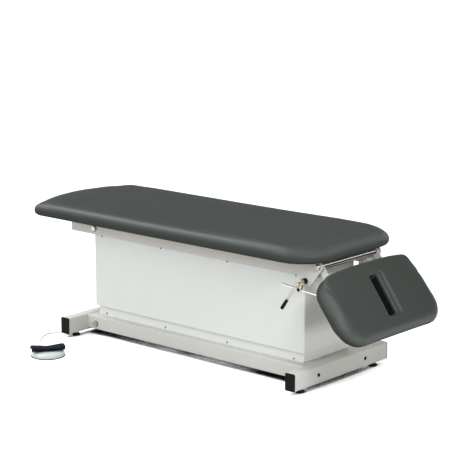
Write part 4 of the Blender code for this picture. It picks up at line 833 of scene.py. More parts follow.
class TABLE_OT_switch_cord(Operator):
    """The foot switch's cord, along the floor to the gland at the tail foot"""

    bl_idname = "treatment_table.switch_cord"
    bl_label = "Switch Cord"

    seat_gap = 0.0003
    switch_place = (-0.5220, -0.5750, 0.0)
    switch_radius = 0.076
    leave = Vector((-0.915, 0.404, 0)).normalized()
    boot_length = 0.022
    boot_level = 0.0105
    boot_run = (0.004, 0.014)
    boot_dip = 0.0025
    floor_level = 0.0032
    mouth = (-0.712, -0.2975, 0.0125)
    mouth_rise = 0.004
    mouth_run = ((-0.014, 0.0004, -0.001), (-0.004, 0, 0))
    floor_turns = (
        (0.069, -0.2165), (0.009, -0.160), (-0.041, -0.100), (-0.066, -0.046), (-0.057, -0.010),
        (-0.028, 0.0012),
    )
    step = 0.011

    def execute(self, context):
        diameter = looks().frame.cord_diameter
        route = self.route()
        data = bpy.data.curves.new("switch_lead", "CURVE")
        data.dimensions = "3D"
        data.bevel_depth = diameter / 2
        data.bevel_resolution = 5
        data.use_fill_caps = True
        spline = data.splines.new("POLY")
        spline.points.add(len(route) - 1)
        for point, place in zip(spline.points, route):
            point.co = (*place, 1)
        cord = bpy.data.objects.new("switch_lead", data)
        context.scene.collection.objects.link(cord)
        settle(cord, "base", "white_nylon")
        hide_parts("switch_cord")
        return {"FINISHED"}

    def route(self):
        """From the gland's mouth to the switch's boot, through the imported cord's own points."""
        boot = spot(*self.switch_place) + self.leave * (self.switch_radius + self.seat_gap)
        boot_end = boot + self.leave * self.boot_length + Vector((0, 0, self.boot_level))
        mouth = spot(*self.mouth)
        turns = [boot_end + self.leave * run for run in self.boot_run]
        turns[1].z = self.boot_level - self.boot_dip
        for x, y in self.floor_turns:
            turns.append(Vector((mouth.x + x, mouth.y + y, self.floor_level)))
        turns[-1].z = self.floor_level + self.mouth_rise
        turns += [mouth + Vector(run) for run in self.mouth_run]
        start = boot_end + self.leave * self.seat_gap
        end = mouth - Vector((self.seat_gap, 0, 0))
        return ([start] + smooth_line(turns, self.step) + [end])[::-1]


def smooth_line(points, step, parts=20):
    """Points a step apart along the smooth curve through the given ones, from its finer parts."""
    ends = [2 * points[0] - points[1]] + points + [2 * points[-1] - points[-2]]
    fine = []
    for a, b, c, d in zip(ends, ends[1:], ends[2:], ends[3:]):
        for count in range(parts):
            t = count / parts
            bow = (2 * a - 5 * b + 4 * c - d) * t * t + (3 * b - a - 3 * c + d) * t**3
            fine.append(b + 0.5 * ((c - a) * t + bow))
    fine.append(points[-1])
    line = [fine[0]]
    for point in fine[1:-1]:
        if (point - line[-1]).length >= step and (point - fine[-1]).length >= 0.6 * step:
            line.append(point)
    return line + [fine[-1]]


def frame_copy(name, *nodes):
    """A merged copy of the frame's nodes in one piece."""
    made = []
    for source in nodes:
        piece = bpy.data.objects.new(name, frame["nodes"][source].data.copy())
        bpy.context.scene.collection.objects.link(piece)
        made.append(piece)
    choose(*made)
    if len(made) > 1:
        bpy.ops.object.join()
    made[0].name = name
    with Shaping(made[0]):
        bpy.ops.mesh.select_all(action="SELECT")
        bpy.ops.mesh.remove_doubles(threshold=FRAME_MERGED)
        bpy.ops.mesh.select_all(action="DESELECT")
    return made[0]


def mesh_points(mesh):
    points = np.zeros(len(mesh.vertices) * 3)
    mesh.vertices.foreach_get("co", points)
    return points.reshape(-1, 3)


def swell(piece, held, pressure, furthest, frames=20):
    """Let the filling push the vinyl out, with the underside held, no further than a limit."""
    group = piece.vertex_groups.new(name="held")
    group.add(held, 1.0, "REPLACE")
    cloth = piece.modifiers.new("Filling", "CLOTH")
    cloth.settings.quality = 3
    cloth.settings.vertex_group_mass = "held"
    cloth.settings.use_pressure = True
    cloth.settings.uniform_pressure_force = pressure
    cloth.settings.effector_weights.gravity = 0.0
    cloth.point_cache.frame_start = 1
    cloth.point_cache.frame_end = frames
    scene = bpy.context.scene
    for count in range(1, frames + 1):
        scene.frame_set(count)
    evaluated = piece.evaluated_get(bpy.context.evaluated_depsgraph_get())
    before = mesh_points(piece.data)
    moved = mesh_points(evaluated.data) - before
    piece.modifiers.remove(cloth)
    piece.vertex_groups.remove(group)
    far = np.linalg.norm(moved, axis=1, keepdims=True)
    kept = furthest * np.tanh(far / furthest) / np.maximum(far, 1e-9)
    piece.data.vertices.foreach_set("co", (before + moved * kept).ravel())
    piece.data.update()
    scene.frame_set(1)


def drag(piece, test, push, reach, falloff):
    """Pull faces along, with the vinyl round them following less and less."""
    with Shaping(piece) as shaping:
        shaping.faces(test)
        bpy.ops.transform.translate(
            value=push, use_proportional_edit=True, proportional_edit_falloff=falloff,
            proportional_size=reach, use_proportional_connected=True,
        )


# The strip that is held along a cushion's lower edge, the room round the board in its underside,
# and the size of faces that the cut leaves there and that are dissolved
HELD_STRIP = 0.004
POCKET_GAP = 0.0003
POCKET_DEPTH = 0.02
SLIVER = 0.0001


def upholster(name, cushion, board, up, weave, rolls, sewn, butting, shape):
    """A cushion over its board: evenly meshed, shaped, filled and rolled at its edges.

    Points that are sewn down keep their place. Those that butt on the other cushion aren't filled.
    """
    settings = looks().upholstery
    piece = frame_copy(name, cushion, board)
    apply_modifier(piece, "REMESH", mode="VOXEL", voxel_size=weave)
    shape(piece)
    points = mesh_points(piece.data)
    under = (mesh_points(frame["nodes"][board].data) @ np.array(up)).min()
    flat = points @ np.array(up) < under + HELD_STRIP
    kept = [int(i) for i in np.nonzero(~sewn(points))[0]]
    held = [int(i) for i in np.nonzero(flat | sewn(points) | butting(points))[0]]
    swell(piece, held, settings.pressure, settings.puff)
    loose = piece.vertex_groups.new(name="loose")
    loose.add(kept, 1.0, "REPLACE")
    apply_modifier(piece, "SMOOTH", factor=0.5, iterations=rolls, vertex_group="loose")
    piece.vertex_groups.clear()
    return piece


def pocket(piece, board, up):
    """Cut the board's seat out of a cushion's underside."""
    tool = frame_copy(piece.name + "_pocket", board)
    with Shaping(tool) as shaping:
        bpy.ops.mesh.select_all(action="SELECT")
        bpy.ops.transform.shrink_fatten(value=POCKET_GAP)
        shaping.faces(lambda middle, normal: normal.dot(up) < -0.9)
        shaping.extrude(up * -POCKET_DEPTH)
        shaping.tidy()
    carve(piece, tool)
    with Shaping(piece):
        bpy.ops.mesh.select_all(action="SELECT")
        bpy.ops.mesh.dissolve_degenerate(threshold=SLIVER)
    smooth(piece, 50)


def settle_pad(piece, cushion, body, finish):
    settle(piece, body, finish)
    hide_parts(cushion)


class TABLE_OT_main_pad(Operator):
    """The main cushion"""

    bl_idname = "treatment_table.main_pad"
    bl_label = "Main Cushion"

    reach = 0.33
    ridge_half = 0.03
    rolls = 10
    butting_edge = 0.012

    def execute(self, context):
        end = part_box("main_cushion")[1].x - self.butting_edge
        piece = upholster(
            "main_pad", "main_cushion", "main_board", UP, looks().upholstery.main_weave, self.rolls,
            lambda points: np.zeros(len(points), bool), lambda points: points[:, 0] > end,
            self.shape,
        )
        apply_modifier(piece, "SUBSURF", levels=1, render_levels=1)
        pocket(piece, "main_board", UP)
        settle_pad(piece, "main_cushion", "top", "vinyl")
        return {"FINISHED"}

    def shape(self, piece):
        """Raise the middle, along the cushion's length."""
        low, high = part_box("main_cushion")

        def ridge(middle, normal):
            along = low.x + self.reach < middle.x < high.x - self.reach
            return normal.z > 0.9 and along and abs(middle.y - CENTRE.y) < self.ridge_half

        drag(piece, ridge, UP * looks().upholstery.crown, self.reach, "SPHERE")


class TABLE_OT_drop_pad(Operator):
    """The drop section's cushion with its breathing slot"""

    bl_idname = "treatment_table.drop_pad"
    bl_label = "Drop Cushion"

    hinge_edge = 0.060
    slot = (0.114, 0.304, 0.027)
    slot_margin = 0.010
    surface = 0.0817
    slot_corner = 0.020
    tool_rise = 0.030
    tool_depth = 0.0400
    funnel = (0.010, 0.022, 0.010)
    reach = 0.31
    ridge_half = 0.06
    corner = 0.030
    corner_pull = (0.014, 0.006, -0.016)
    corner_reach = 0.240
    rolls = 8
    butting_edge = 0.030

    def execute(self, context):
        piece = upholster(
            "drop_pad", "drop_cushion", "drop_board", DROP_UP, looks().upholstery.drop_weave,
            self.rolls, self.in_slot, self.butting, self.shape,
        )
        carve(piece, self.slot_tool())
        pocket(piece, "drop_board", DROP_UP)
        settle_pad(piece, "drop_cushion", "drop_section", "drop_vinyl")
        return {"FINISHED"}

    def shape(self, piece):
        """Raise the middle, and ease the hinge side's two corners down."""
        turn = DROP_FRAME.inverted()
        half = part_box("drop_cushion")[1].y - CENTRE.y

        def ridge(middle, normal):
            return normal.dot(DROP_UP) > 0.9 and abs(middle.y - CENTRE.y) < self.ridge_half

        drag(piece, ridge, DROP_UP * looks().upholstery.crown, self.reach, "SPHERE")
        along, across, down = self.corner_pull
        for way in (1, -1):

            def at_corner(middle, normal):
                place = turn @ middle
                at_side = way * place.y > half - self.corner
                return at_side and place.x < self.hinge_edge + self.corner

            push = DROP_FRAME.to_3x3() @ Vector((along, -way * across, down))
            drag(piece, at_corner, push, self.corner_reach, "SHARP")

    def slot_tool(self):
        """The slot with its shoulders, where the vinyl is pulled down into it."""
        low, high, half = self.slot
        ends, sides, depth = self.funnel
        top = self.surface + self.tool_rise
        size = (high - low + 2 * ends, 2 * (half + sides), top - self.surface)
        middle = Vector(((low + high) / 2, 0, (top + self.surface) / 2))
        tool = block("slot_tool", size, middle)
        with Shaping(tool) as shaping:
            shaping.upright(self.slot_corner, 5)
            shaping.faces(lambda centre, normal: normal.z < -0.9)
            before = Vector((ends, sides, 0))
            for turn in range(1, 7):
                angle = turn * math.pi / 12
                after = Vector((ends, sides, 0)) * (1 - math.sin(angle))
                step = depth * (math.cos(angle - math.pi / 12) - math.cos(angle))
                shaping.extrude((0, 0, -step))
                narrow = (
                    (high - low + 2 * after.x) / (high - low + 2 * before.x),
                    (half + after.y) / (half + before.y), 1,
                )
                bpy.ops.transform.resize(value=narrow, center_override=middle)
                before = after
            shaping.extrude((0, 0, -self.tool_depth))
            shaping.tidy()
        tool.data.transform(DROP_FRAME)
        return tool

    def level(self, points):
        """Points in the drop section's own frame."""
        turn = np.array(DROP_FRAME.inverted())
        return points @ turn[:3, :3].T + turn[:3, 3]

    def butting(self, points):
        return self.level(points)[:, 0] < self.hinge_edge + self.butting_edge

    def in_slot(self, points):
        low, high, half = self.slot
        near = self.level(points)
        along = (near[:, 0] > low - self.slot_margin) & (near[:, 0] < high + self.slot_margin)
        return along & (abs(near[:, 1]) < half + self.slot_margin)


def closed_rings(edges):
    """Closed rings of points along a set of edges, each from its point of the lowest x."""

    def ends(edge):
        return sorted(edge.verts, key=lambda vert: vert.co.to_tuple(5))

    left = set(edges)
    rings = []
    while left:
        edge = min(left, key=lambda e: [vert.co.to_tuple(5) for vert in ends(e)])
        left.remove(edge)
        first, corner = ends(edge)
        ring = [first.co.copy()]
        while corner != first:
            ring.append(corner.co.copy())
            edge = next(e for e in corner.link_edges if e in left)
            left.remove(edge)
            corner = edge.other_vert(corner)
        rings.append(ring)
    return rings


def evenly_along(ring, step):
    """Places and headings at even steps round a closed ring."""
    found = []
    walked, due = 0.0, step / 2
    for a, b in zip(ring, ring[1:] + ring[:1]):
        length = (b - a).length
        while due <= walked + length:
            found.append((a.lerp(b, (due - walked) / length), (b - a).normalized()))
            due += step
        walked += length
    return found


def box_of(points):
    """Middle and size of a box round points."""
    low = Vector([min(p[i] for p in points) for i in range(3)])
    high = Vector([max(p[i] for p in points) for i in range(3)])
    return (low + high) / 2, high - low


def staple(size=(0.0105, 0.0012, 0.0007), shoulder=0.0005):
    """A staple's crown with rounded shoulders."""
    piece = block("staple", size, (0, 0, size[2] / 2))
    with Shaping(piece) as shaping:
        shaping.edges(lambda a, b: min(a.z, b.z) > size[2] / 2 and abs(a.x - b.x) < MERGED)
        shaping.round(shoulder, 2)
    smooth(piece, 40)
    return piece


class TABLE_OT_hems(Operator):
    """Vinyl turned under both boards and stapled"""

    bl_idname = "treatment_table.hems"
    bl_label = "Hems And Staples"

    clear = 0.00005
    pinch = 0.002
    rolled = 0.0003

    def execute(self, context):
        settings = looks().upholstery
        self.turn_under("main", Matrix(), "top", "vinyl", settings.hem_inside)
        self.turn_under("drop", DROP_FRAME, "drop_section", "drop_vinyl", settings.drop_hem_inside)
        return {"FINISHED"}

    def turn_under(self, pad, place, body, finish, inside):
        """A hem round a board's underside, made in the board's level frame."""
        settings = looks().upholstery
        hem = frame_copy(pad + "_hem", pad + "_board")
        hem.data.transform(place.inverted())
        middle, size = box_of([v.co for v in hem.data.vertices])
        grow = [1 + 2 * settings.hem_outside / span for span in size[:2]]
        with Shaping(hem) as shaping:
            shaping.faces(lambda centre, normal: normal.z > -0.9)
            bpy.ops.mesh.delete(type="FACE")
            bpy.ops.mesh.select_all(action="SELECT")
            self.fold_in(inside / 2)
            mesh = bmesh.from_edit_mesh(hem.data)
            line = [e for e in mesh.edges if sum(f.select for f in e.link_faces) == 1]
            rings = closed_rings(line)
            self.fold_in(inside / 2)
            bpy.ops.mesh.delete(type="FACE")
            edge = self.outer_edge(hem)
            shaping.edges(lambda a, b: edge(a) and edge(b))
            bpy.ops.mesh.extrude_edges_move()
            bpy.ops.transform.resize(value=(*grow, 1), center_override=middle)
            bpy.ops.mesh.select_all(action="SELECT")
            bpy.ops.transform.translate(value=(0, 0, -self.clear))
        apply_modifier(hem, "SOLIDIFY", thickness=settings.hem_thickness, offset=1.0)
        ease(hem, self.rolled, 2, 40)
        single(hem, pad + "_hem", place, body, "vinyl", finish)
        low = middle.z - size.z / 2 - self.clear - settings.hem_thickness
        places = []
        for ring in rings:
            for spot_on, heading in evenly_along(ring, settings.staple_step):
                spot_on.z = low
                lie = Matrix.Rotation(math.atan2(heading.y, heading.x), 4, "Z")
                places.append(place @ Matrix.Translation(spot_on) @ lie @ TURNED_OVER)
        copies(staple(), pad + "_staples", places, body, "bright_steel", joined=True)

    def fold_in(self, width):
        """Lead a hem's edge further in, with the corners gathered to a point."""
        bpy.ops.mesh.inset(thickness=width, use_even_offset=True)
        bpy.ops.mesh.remove_doubles(threshold=self.pinch)

    def outer_edge(self, hem):
        """A test for points on the hem's outer edge, and not round a slot in the board."""
        mesh = bmesh.from_edit_mesh(hem.data)
        rings = closed_rings([e for e in mesh.edges if e.is_boundary])
        widest = max(rings, key=lambda ring: box_of(ring)[1].length)
        found = {point.to_tuple(5) for point in widest}
        return lambda point: point.to_tuple(5) in found


class TABLE_OT_slot_painted_shade_sheet(Operator):
    """A near-black sheet inside the drop cushion's breathing slot: painted shade for the slot's depths"""

    bl_idname = "treatment_table.slot_lining"
    bl_label = "Slot Lining"

    depth = (0.0308, 0.0660)
    sheet = 0.0008
    clear = 0.0006
    corner = 0.0080
    ledge = 0.0035
    rolled = 0.0003

    def execute(self, context):
        low, high, half = TABLE_OT_drop_pad.slot
        under, top = self.depth
        size = (high - low - 2 * self.clear, 2 * (half - self.clear), top - under)
        piece = block("slot_lining", size, ((low + high) / 2, 0, (under + top) / 2))
        with Shaping(piece) as shaping:
            shaping.upright(self.corner, 5)
            shaping.faces(lambda middle, normal: normal.z < -0.9)
            bpy.ops.mesh.inset(thickness=self.ledge)
            bpy.ops.mesh.delete(type="FACE")
            shaping.faces(lambda middle, normal: normal.z > 0.9)
            bpy.ops.mesh.delete(type="FACE")
        apply_modifier(piece, "SOLIDIFY", thickness=self.sheet, offset=-1.0)
        ease(piece, self.rolled, 2, 40)
        single(piece, "slot_lining", DROP_FRAME, "drop_section", "vinyl", "painted_shade_sheet")
        return {"FINISHED"}


class TABLE_OT_closing_plates(Operator):
    """Folded plates that close the base between the skirt's ends and the floor tubes"""

    bl_idname = "treatment_table.closing_plates"
    bl_label = "Closing Plates"

    sheet = 0.0020
    fold = 0.016
    gap = 0.0004
    eased = 0.0006

    def execute(self, context):
        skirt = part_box("inner_shroud")
        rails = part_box("base_rail_near"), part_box("base_rail_far")
        inner = (rails[0][1].y + self.gap, rails[1][0].y - self.gap)
        top = rails[0][1].z
        ends = (
            ("tail", -1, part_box("tail_foot_tube")[1].x, skirt[0].x),
            ("head", 1, skirt[1].x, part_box("head_foot_tube")[0].x),
        )
        for end, way, near, far in ends:
            size = (far - near - 2 * self.gap, inner[1] - inner[0], self.sheet)
            middle = ((near + far) / 2, (inner[0] + inner[1]) / 2, top - self.sheet / 2)
            place = Matrix.Translation(middle)
            single(self.plate(size, way), f"{end}_closing_plate", place, "base", "powder_coat")
        return {"FINISHED"}

    def plate(self, size, way):
        """A plate with a lip folded down along the floor tube."""
        piece = block("closing_plate", size)
        with Shaping(piece) as shaping:
            bpy.ops.mesh.select_all(action="SELECT")
            edge = way * (size[0] / 2 - self.sheet)
            bpy.ops.mesh.bisect(plane_co=(edge, 0, 0), plane_no=(1, 0, 0))
            shaping.faces(lambda middle, normal: normal.z < -0.9 and way * middle.x > way * edge)
            shaping.extrude((0, 0, -self.fold))
            shaping.tidy()
        ease(piece, self.eased, 2, 30)
        return piece


def pan_screw(radius, height):
    """A pan-head screw with a cross recess, pointing up."""
    piece = cylinder("pan_screw", radius, 0, height, 24)
    with Shaping(piece) as shaping:
        shaping.rim(height, 0.62 * height, 4)
    for turn in (0, math.pi / 2):
        tool = block("cross_recess", (1.25 * radius, 0.26 * radius, 1.3 * height), (0, 0, height))
        tool.data.transform(Matrix.Rotation(turn, 4, "Z"))
        with Shaping(tool) as shaping:
            shaping.faces(lambda middle, normal: normal.z < -0.9)
            bpy.ops.transform.resize(value=(0.45, 0.8, 0.8) if not turn else (0.8, 0.45, 0.8))
        carve(piece, tool)
    smooth(piece, 30)
    return piece


class TABLE_OT_skirt_screws(Operator):
    """Screws along both skirts, on the near and far sides"""

    bl_idname = "treatment_table.skirt_screws"
    bl_label = "Skirt Screws"

    lower_row = (-0.562, -0.188, 0.183, 0.561)
    lower_level = 0.1030
    upper_row = (-0.575, -0.2015, 0.195, 0.577)
    upper_level = 0.4720
    turns = (0.4, 0.9)

    def execute(self, context):
        rows = (
            ("lower_skirt_screw", "inner_shroud", self.lower_row, self.lower_level, "base"),
            ("upper_skirt_screw", "outer_shroud", self.upper_row, self.upper_level, "top"),
        )
        settings = looks().hardware
        for name, skirt, row, level, body in rows:
            low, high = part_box(skirt)
            places = []
            for count, x in enumerate(row):
                for y, out in ((low.y, NEAR), (high.y, FAR)):
                    seat = spot(x, 0, level)
                    seat.y = y
                    places.append(facing(seat, out, self.turns[0] + self.turns[1] * count))
            screw = pan_screw(settings.screw_radius, settings.screw_height)
            copies(screw, name, places, body, "bright_steel", "dark_steel")
        return {"FINISHED"}


def corner_radius(flats):
    """A hexagon's radius at its corners, from its size across the flats."""
    return flats / 2 / math.cos(math.pi / 6)


def hexagon(name, flats, low, high, chamfer):
    """A hexagon along Z whose corners are turned down at the top."""
    piece = cylinder(name, corner_radius(flats), low, high, 6)
    tool = cylinder(name + "_turning", corner_radius(0.995 * flats), low - CUT_PAST, high, 48)
    with Shaping(tool) as shaping:
        shaping.rim(high, chamfer, 2)
    carve(piece, tool, "INTERSECT")
    return piece


class TABLE_OT_pivot_bolts(Operator):
    """Hexagon bolts and washers on the ends of the lift's two pivot shafts"""

    bl_idname = "treatment_table.pivot_bolts"
    bl_label = "Pivot Bolts"

    washer_radius = 0.0142
    washer_height = 0.0034
    washer_edge = 0.0010
    washer_land = 0.0012
    head_top = 0.0102
    chamfer = 0.0016
    rim = 0.0035
    dish = 0.0004
    gap = 0.0003
    turn = 0.35

    def execute(self, context):
        for shaft, body in (("lower_pivot_shaft", "base"), ("upper_pivot_shaft", "top")):
            low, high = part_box(shaft)
            middle = (low + high) / 2
            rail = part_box("base_rail_near" if body == "base" else "top_rail_near")[0].y
            reach = middle.y - rail + self.gap
            places = [facing(middle + out * reach, out, self.turn) for _, out in SIDES]
            name = shaft.replace("_shaft", "")
            copies(self.bolt(), name + "_bolt", places, body, "zinc")
            copies(self.washer(), name + "_washer", places, body, "bright_steel", "dark_steel")
        return {"FINISHED"}

    def bolt(self):
        flats = looks().hardware.bolt_flats
        piece = hexagon("pivot_bolt", flats, self.washer_height, self.head_top, self.chamfer)
        with Shaping(piece) as shaping:
            shaping.faces(lambda middle, normal: normal.z > 0.99)
            shaping.dish(self.rim, self.dish)
        smooth(piece, 25)
        return piece

    def washer(self):
        piece = cylinder("pivot_washer", self.washer_radius, 0, self.washer_height, 40)
        with Shaping(piece) as shaping:
            shaping.rim(self.washer_height, self.washer_edge, 3)
            shaping.faces(lambda middle, normal: normal.z > 0.99)
            bpy.ops.mesh.inset(thickness=self.washer_land)
        smooth(piece, 30)
        return piece


def button_bolt(radius, height, socket, depth):
    """A button head with a hexagon socket, pointing up."""
    piece = cylinder("button_bolt", radius, 0, height, 40)
    with Shaping(piece) as shaping:
        shaping.rim(height, 0.75 * height, 6)
    tool = cylinder(
        "hexagon_socket", corner_radius(socket), height - depth, height + 2 * CUT_PAST, 6
    )
    carve(piece, tool)
    smooth(piece, 30)
    return piece


class TABLE_OT_hinge_bolts(Operator):
    """Button-head bolts on the hinge rod's ends, and spacers between its arms and gussets"""

    bl_idname = "treatment_table.hinge_bolts"
    bl_label = "Hinge Bolts"

    head_radius = 0.0138
    head_height = 0.0112
    head_gap = 0.0001
    head_turn = 0.6
    socket = 0.0074
    socket_depth = 0.0035
    spacer_radius = 0.0150
    spacer_gap = 0.0006
    spacer_overlap = 0.0019
    eased = 0.0005

    def execute(self, context):
        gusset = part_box("hinge_gusset_near")
        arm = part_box("drop_arm_near")
        reach = HINGE.y - gusset[0].y + self.head_gap
        places = [facing(HINGE + out * reach, out, self.head_turn) for _, out in SIDES]
        bolt = button_bolt(self.head_radius, self.head_height, self.socket, self.socket_depth)
        copies(bolt, "hinge_bolt", places, "top", "bright_steel")
        inner, outer = HINGE.y - arm[0].y, HINGE.y - gusset[1].y
        places = [facing(HINGE + out * inner, out) for _, out in SIDES]
        copies(self.spacer(outer - inner), "hinge_spacer", places, "top", "white_nylon")
        return {"FINISHED"}

    def spacer(self, length):
        gap = self.spacer_gap
        bore = (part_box("hinge_rod")[1].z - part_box("hinge_rod")[0].z) / 2 - self.spacer_overlap
        piece = cylinder("hinge_spacer", self.spacer_radius, gap, length - gap, 40)
        tool = cylinder("spacer_bore", bore, -CUT_PAST, length + CUT_PAST, 40)
        carve(piece, tool)
        ease(piece, self.eased, 2, 30)
        return piece


class TABLE_OT_foot_nuts(Operator):
    """Jam nuts of the levelling feet"""

    bl_idname = "treatment_table.foot_nuts"
    bl_label = "Levelling Nuts"

    low = 0.0138
    high = 0.0196
    flats = 0.0216
    chamfer = 0.0014
    turn = 0.5

    def execute(self, context):
        places = []
        for end in ("tail", "head"):
            for side, _ in SIDES:
                low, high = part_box(f"{end}_{side}_levelling_foot")
                middle = (low + high) / 2
                turn = Matrix.Rotation(self.turn * len(places), 4, "Z")
                places.append(Matrix.Translation((middle.x, middle.y, 0)) @ turn)
        nut = hexagon("jam_nut", self.flats, self.low, self.high, self.chamfer)
        nut.data.transform(Matrix.Translation((0, 0, self.low + self.high)) @ TURNED_OVER)
        smooth(nut, 30)
        copies(nut, "jam_nut", places, "base", "zinc")
        return {"FINISHED"}


class TABLE_OT_hole_plugs(Operator):
    """Black plugs in the floor tubes' access holes, dished in the middle"""

    bl_idname = "treatment_table.hole_plugs"
    bl_label = "Hole Plugs"

    row = (-0.1635, 0.1635)
    level = 0.0581
    flange = 0.0084
    seat_gap = 0.00005
    rise = 0.0011
    edge = 0.0006
    lip = 0.0014
    dish = 0.0036
    stem = 0.0066
    stem_depth = 0.0046

    def execute(self, context):
        places = []
        for tube, way in (("tail_foot_tube", -1), ("head_foot_tube", 1)):
            low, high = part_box(tube)
            for y in self.row:
                seat = spot(0, y, self.level)
                seat.x = high.x if way > 0 else low.x
                places.append(facing(seat, (way, 0, 0)))
        copies(self.plug(), "access_plug", places, "base", "black_plastic")
        return {"FINISHED"}

    def plug(self):
        piece = cylinder("access_plug", self.flange, self.seat_gap, self.rise, 32)
        with Shaping(piece) as shaping:
            shaping.rim(self.rise, self.edge, 3)
            shaping.faces(lambda middle, normal: normal.z > 0.99)
            bpy.ops.mesh.inset(thickness=self.lip)
            shaping.extrude((0, 0, -self.dish))
            bpy.ops.transform.resize(value=(0.9, 0.9, 1))
            shaping.faces(lambda middle, normal: normal.z < -0.99)
            bpy.ops.mesh.inset(thickness=self.flange - self.stem)
            shaping.extrude((0, 0, -self.stem_depth))
        smooth(piece, 30)
        return piece


class TABLE_OT_rail_plates(Operator):
    """Coated end plates of the top rails"""

    bl_idname = "treatment_table.rail_plates"
    bl_label = "Rail End Plates"

    wall = 0.0034
    flange = 0.0017
    depth = 0.014
    corner = 0.003
    clear = 0.0006
    seat_gap = 0.0001
    border = 0.004
    slope = 0.0012
    dish = 0.0006
    eased = 0.0004

    def execute(self, context):
        for side, _ in SIDES:
            low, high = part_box("top_rail_" + side)
            middle = (low + high) / 2
            for end, x, out in (("tail", low.x, -1), ("head", high.x, 1)):
                seat = Vector((x, middle.y, middle.z))
                plate = self.plate(high.y - low.y, high.z - low.z)
                place = facing(seat, (out, 0, 0))
                single(plate, f"{end}_{side}_rail_plate", place, "top", "powder_coat")
        return {"FINISHED"}

    def plate(self, width, height):
        """A plate plugged into the rail: its top is out of it, its height lies along X."""
        size = (height - self.clear, width - self.clear, self.flange)
        piece = block("rail_plate", size, (0, 0, self.seat_gap + self.flange / 2))
        with Shaping(piece) as shaping:
            shaping.faces(lambda middle, normal: normal.z < -0.9)
            bpy.ops.mesh.inset(thickness=self.wall)
            shaping.extrude((0, 0, -self.depth))
            shaping.faces(lambda middle, normal: normal.z > 0.9)
            bpy.ops.mesh.inset(thickness=self.border)
            shaping.dish(self.slope, self.dish)
            edge = size[0] / 2 - LEVEL
            shaping.edges(lambda a, b: abs(a.z - b.z) > LEVEL and min(abs(a.x), abs(b.x)) > edge)
            shaping.round(self.corner, 4)
        ease(piece, self.eased, 2, 30)
        return piece


class TABLE_OT_welds(Operator):
    """Weld beads where the base rails meet the floor tubes, and the tail bar meets its rails"""

    bl_idname = "treatment_table.welds"
    bl_label = "Welds"

    corner = 0.006
    bar_margin = 0.004
    ripple_turn = 0.7
    ripple_shape = (1.0, 0.86, 0.72)

    def execute(self, context):
        corner = self.corner
        for side, out in SIDES:
            low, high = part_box("base_rail_" + side)
            edge, inside = (low.y, high.y) if out.y < 0 else (high.y, low.y)
            for end, x in (("tail", low.x), ("head", high.x)):
                upright = (x, edge, low.z + corner), (x, edge, high.z - corner)
                on_top = (x, edge - out.y * corner, high.z), (x, inside + out.y * corner, high.z)
                self.lay(f"{end}_{side}_rail_weld", (upright, on_top), "base")
            low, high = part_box("tail_cross_bar")
            y = low.y if out.y < 0 else high.y
            upright = (low.x, y, low.z + self.bar_margin), (low.x, y, high.z - corner)
            under = (low.x + corner, y, low.z), (high.x - corner, y, low.z)
            self.lay(f"tail_bar_{side}_weld", (upright, under), "top")
        return {"FINISHED"}

    def lay(self, name, runs, body):
        """Ripples along each run, one after another."""
        settings = looks().hardware
        places = []
        for start, end in ((Vector(a), Vector(b)) for a, b in runs):
            along = (end - start).normalized()
            count = max(1, round((end - start).length / settings.bead_pitch))
            for step in range(count + 1):
                seat = start.lerp(end, step / count)
                places.append(facing(seat, along, self.ripple_turn * step))
        copies(self.ripple(), name, places, body, "powder_coat", joined=True)

    def ripple(self):
        """One ripple of a bead: a flat lens across the run."""
        radius = looks().hardware.bead_radius
        clear_selection()
        bpy.ops.mesh.primitive_uv_sphere_add(segments=8, ring_count=5, radius=radius)
        piece = added("weld_ripple")
        with Shaping(piece):
            bpy.ops.mesh.select_all(action="SELECT")
            bpy.ops.transform.resize(value=self.ripple_shape)
        smooth(piece, 60)
        return piece


class TABLE_OT_trunnion_cap(Operator):
    """Black cap on the clamp's cross pin"""

    bl_idname = "treatment_table.trunnion_cap"
    bl_label = "Cross Pin Cap"

    radius = 0.0072
    seat_gap = 0.00005
    height = 0.0023
    edge = 0.0012
    border = 0.002
    dish = 0.0005

    def execute(self, context):
        low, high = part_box("rod_trunnion")
        middle = (low + high) / 2
        piece = cylinder("cross_pin_cap", self.radius, self.seat_gap, self.height, 32)
        with Shaping(piece) as shaping:
            shaping.rim(self.height, self.edge, 3)
            shaping.faces(lambda centre, normal: normal.z > 0.99)
            shaping.dish(self.border, self.dish)
        smooth(piece, 30)
        place = facing((middle.x, low.y, middle.z), NEAR)
        single(piece, "cross_pin_cap", place, "rod_trunnion", "black_plastic")
        return {"FINISHED"}


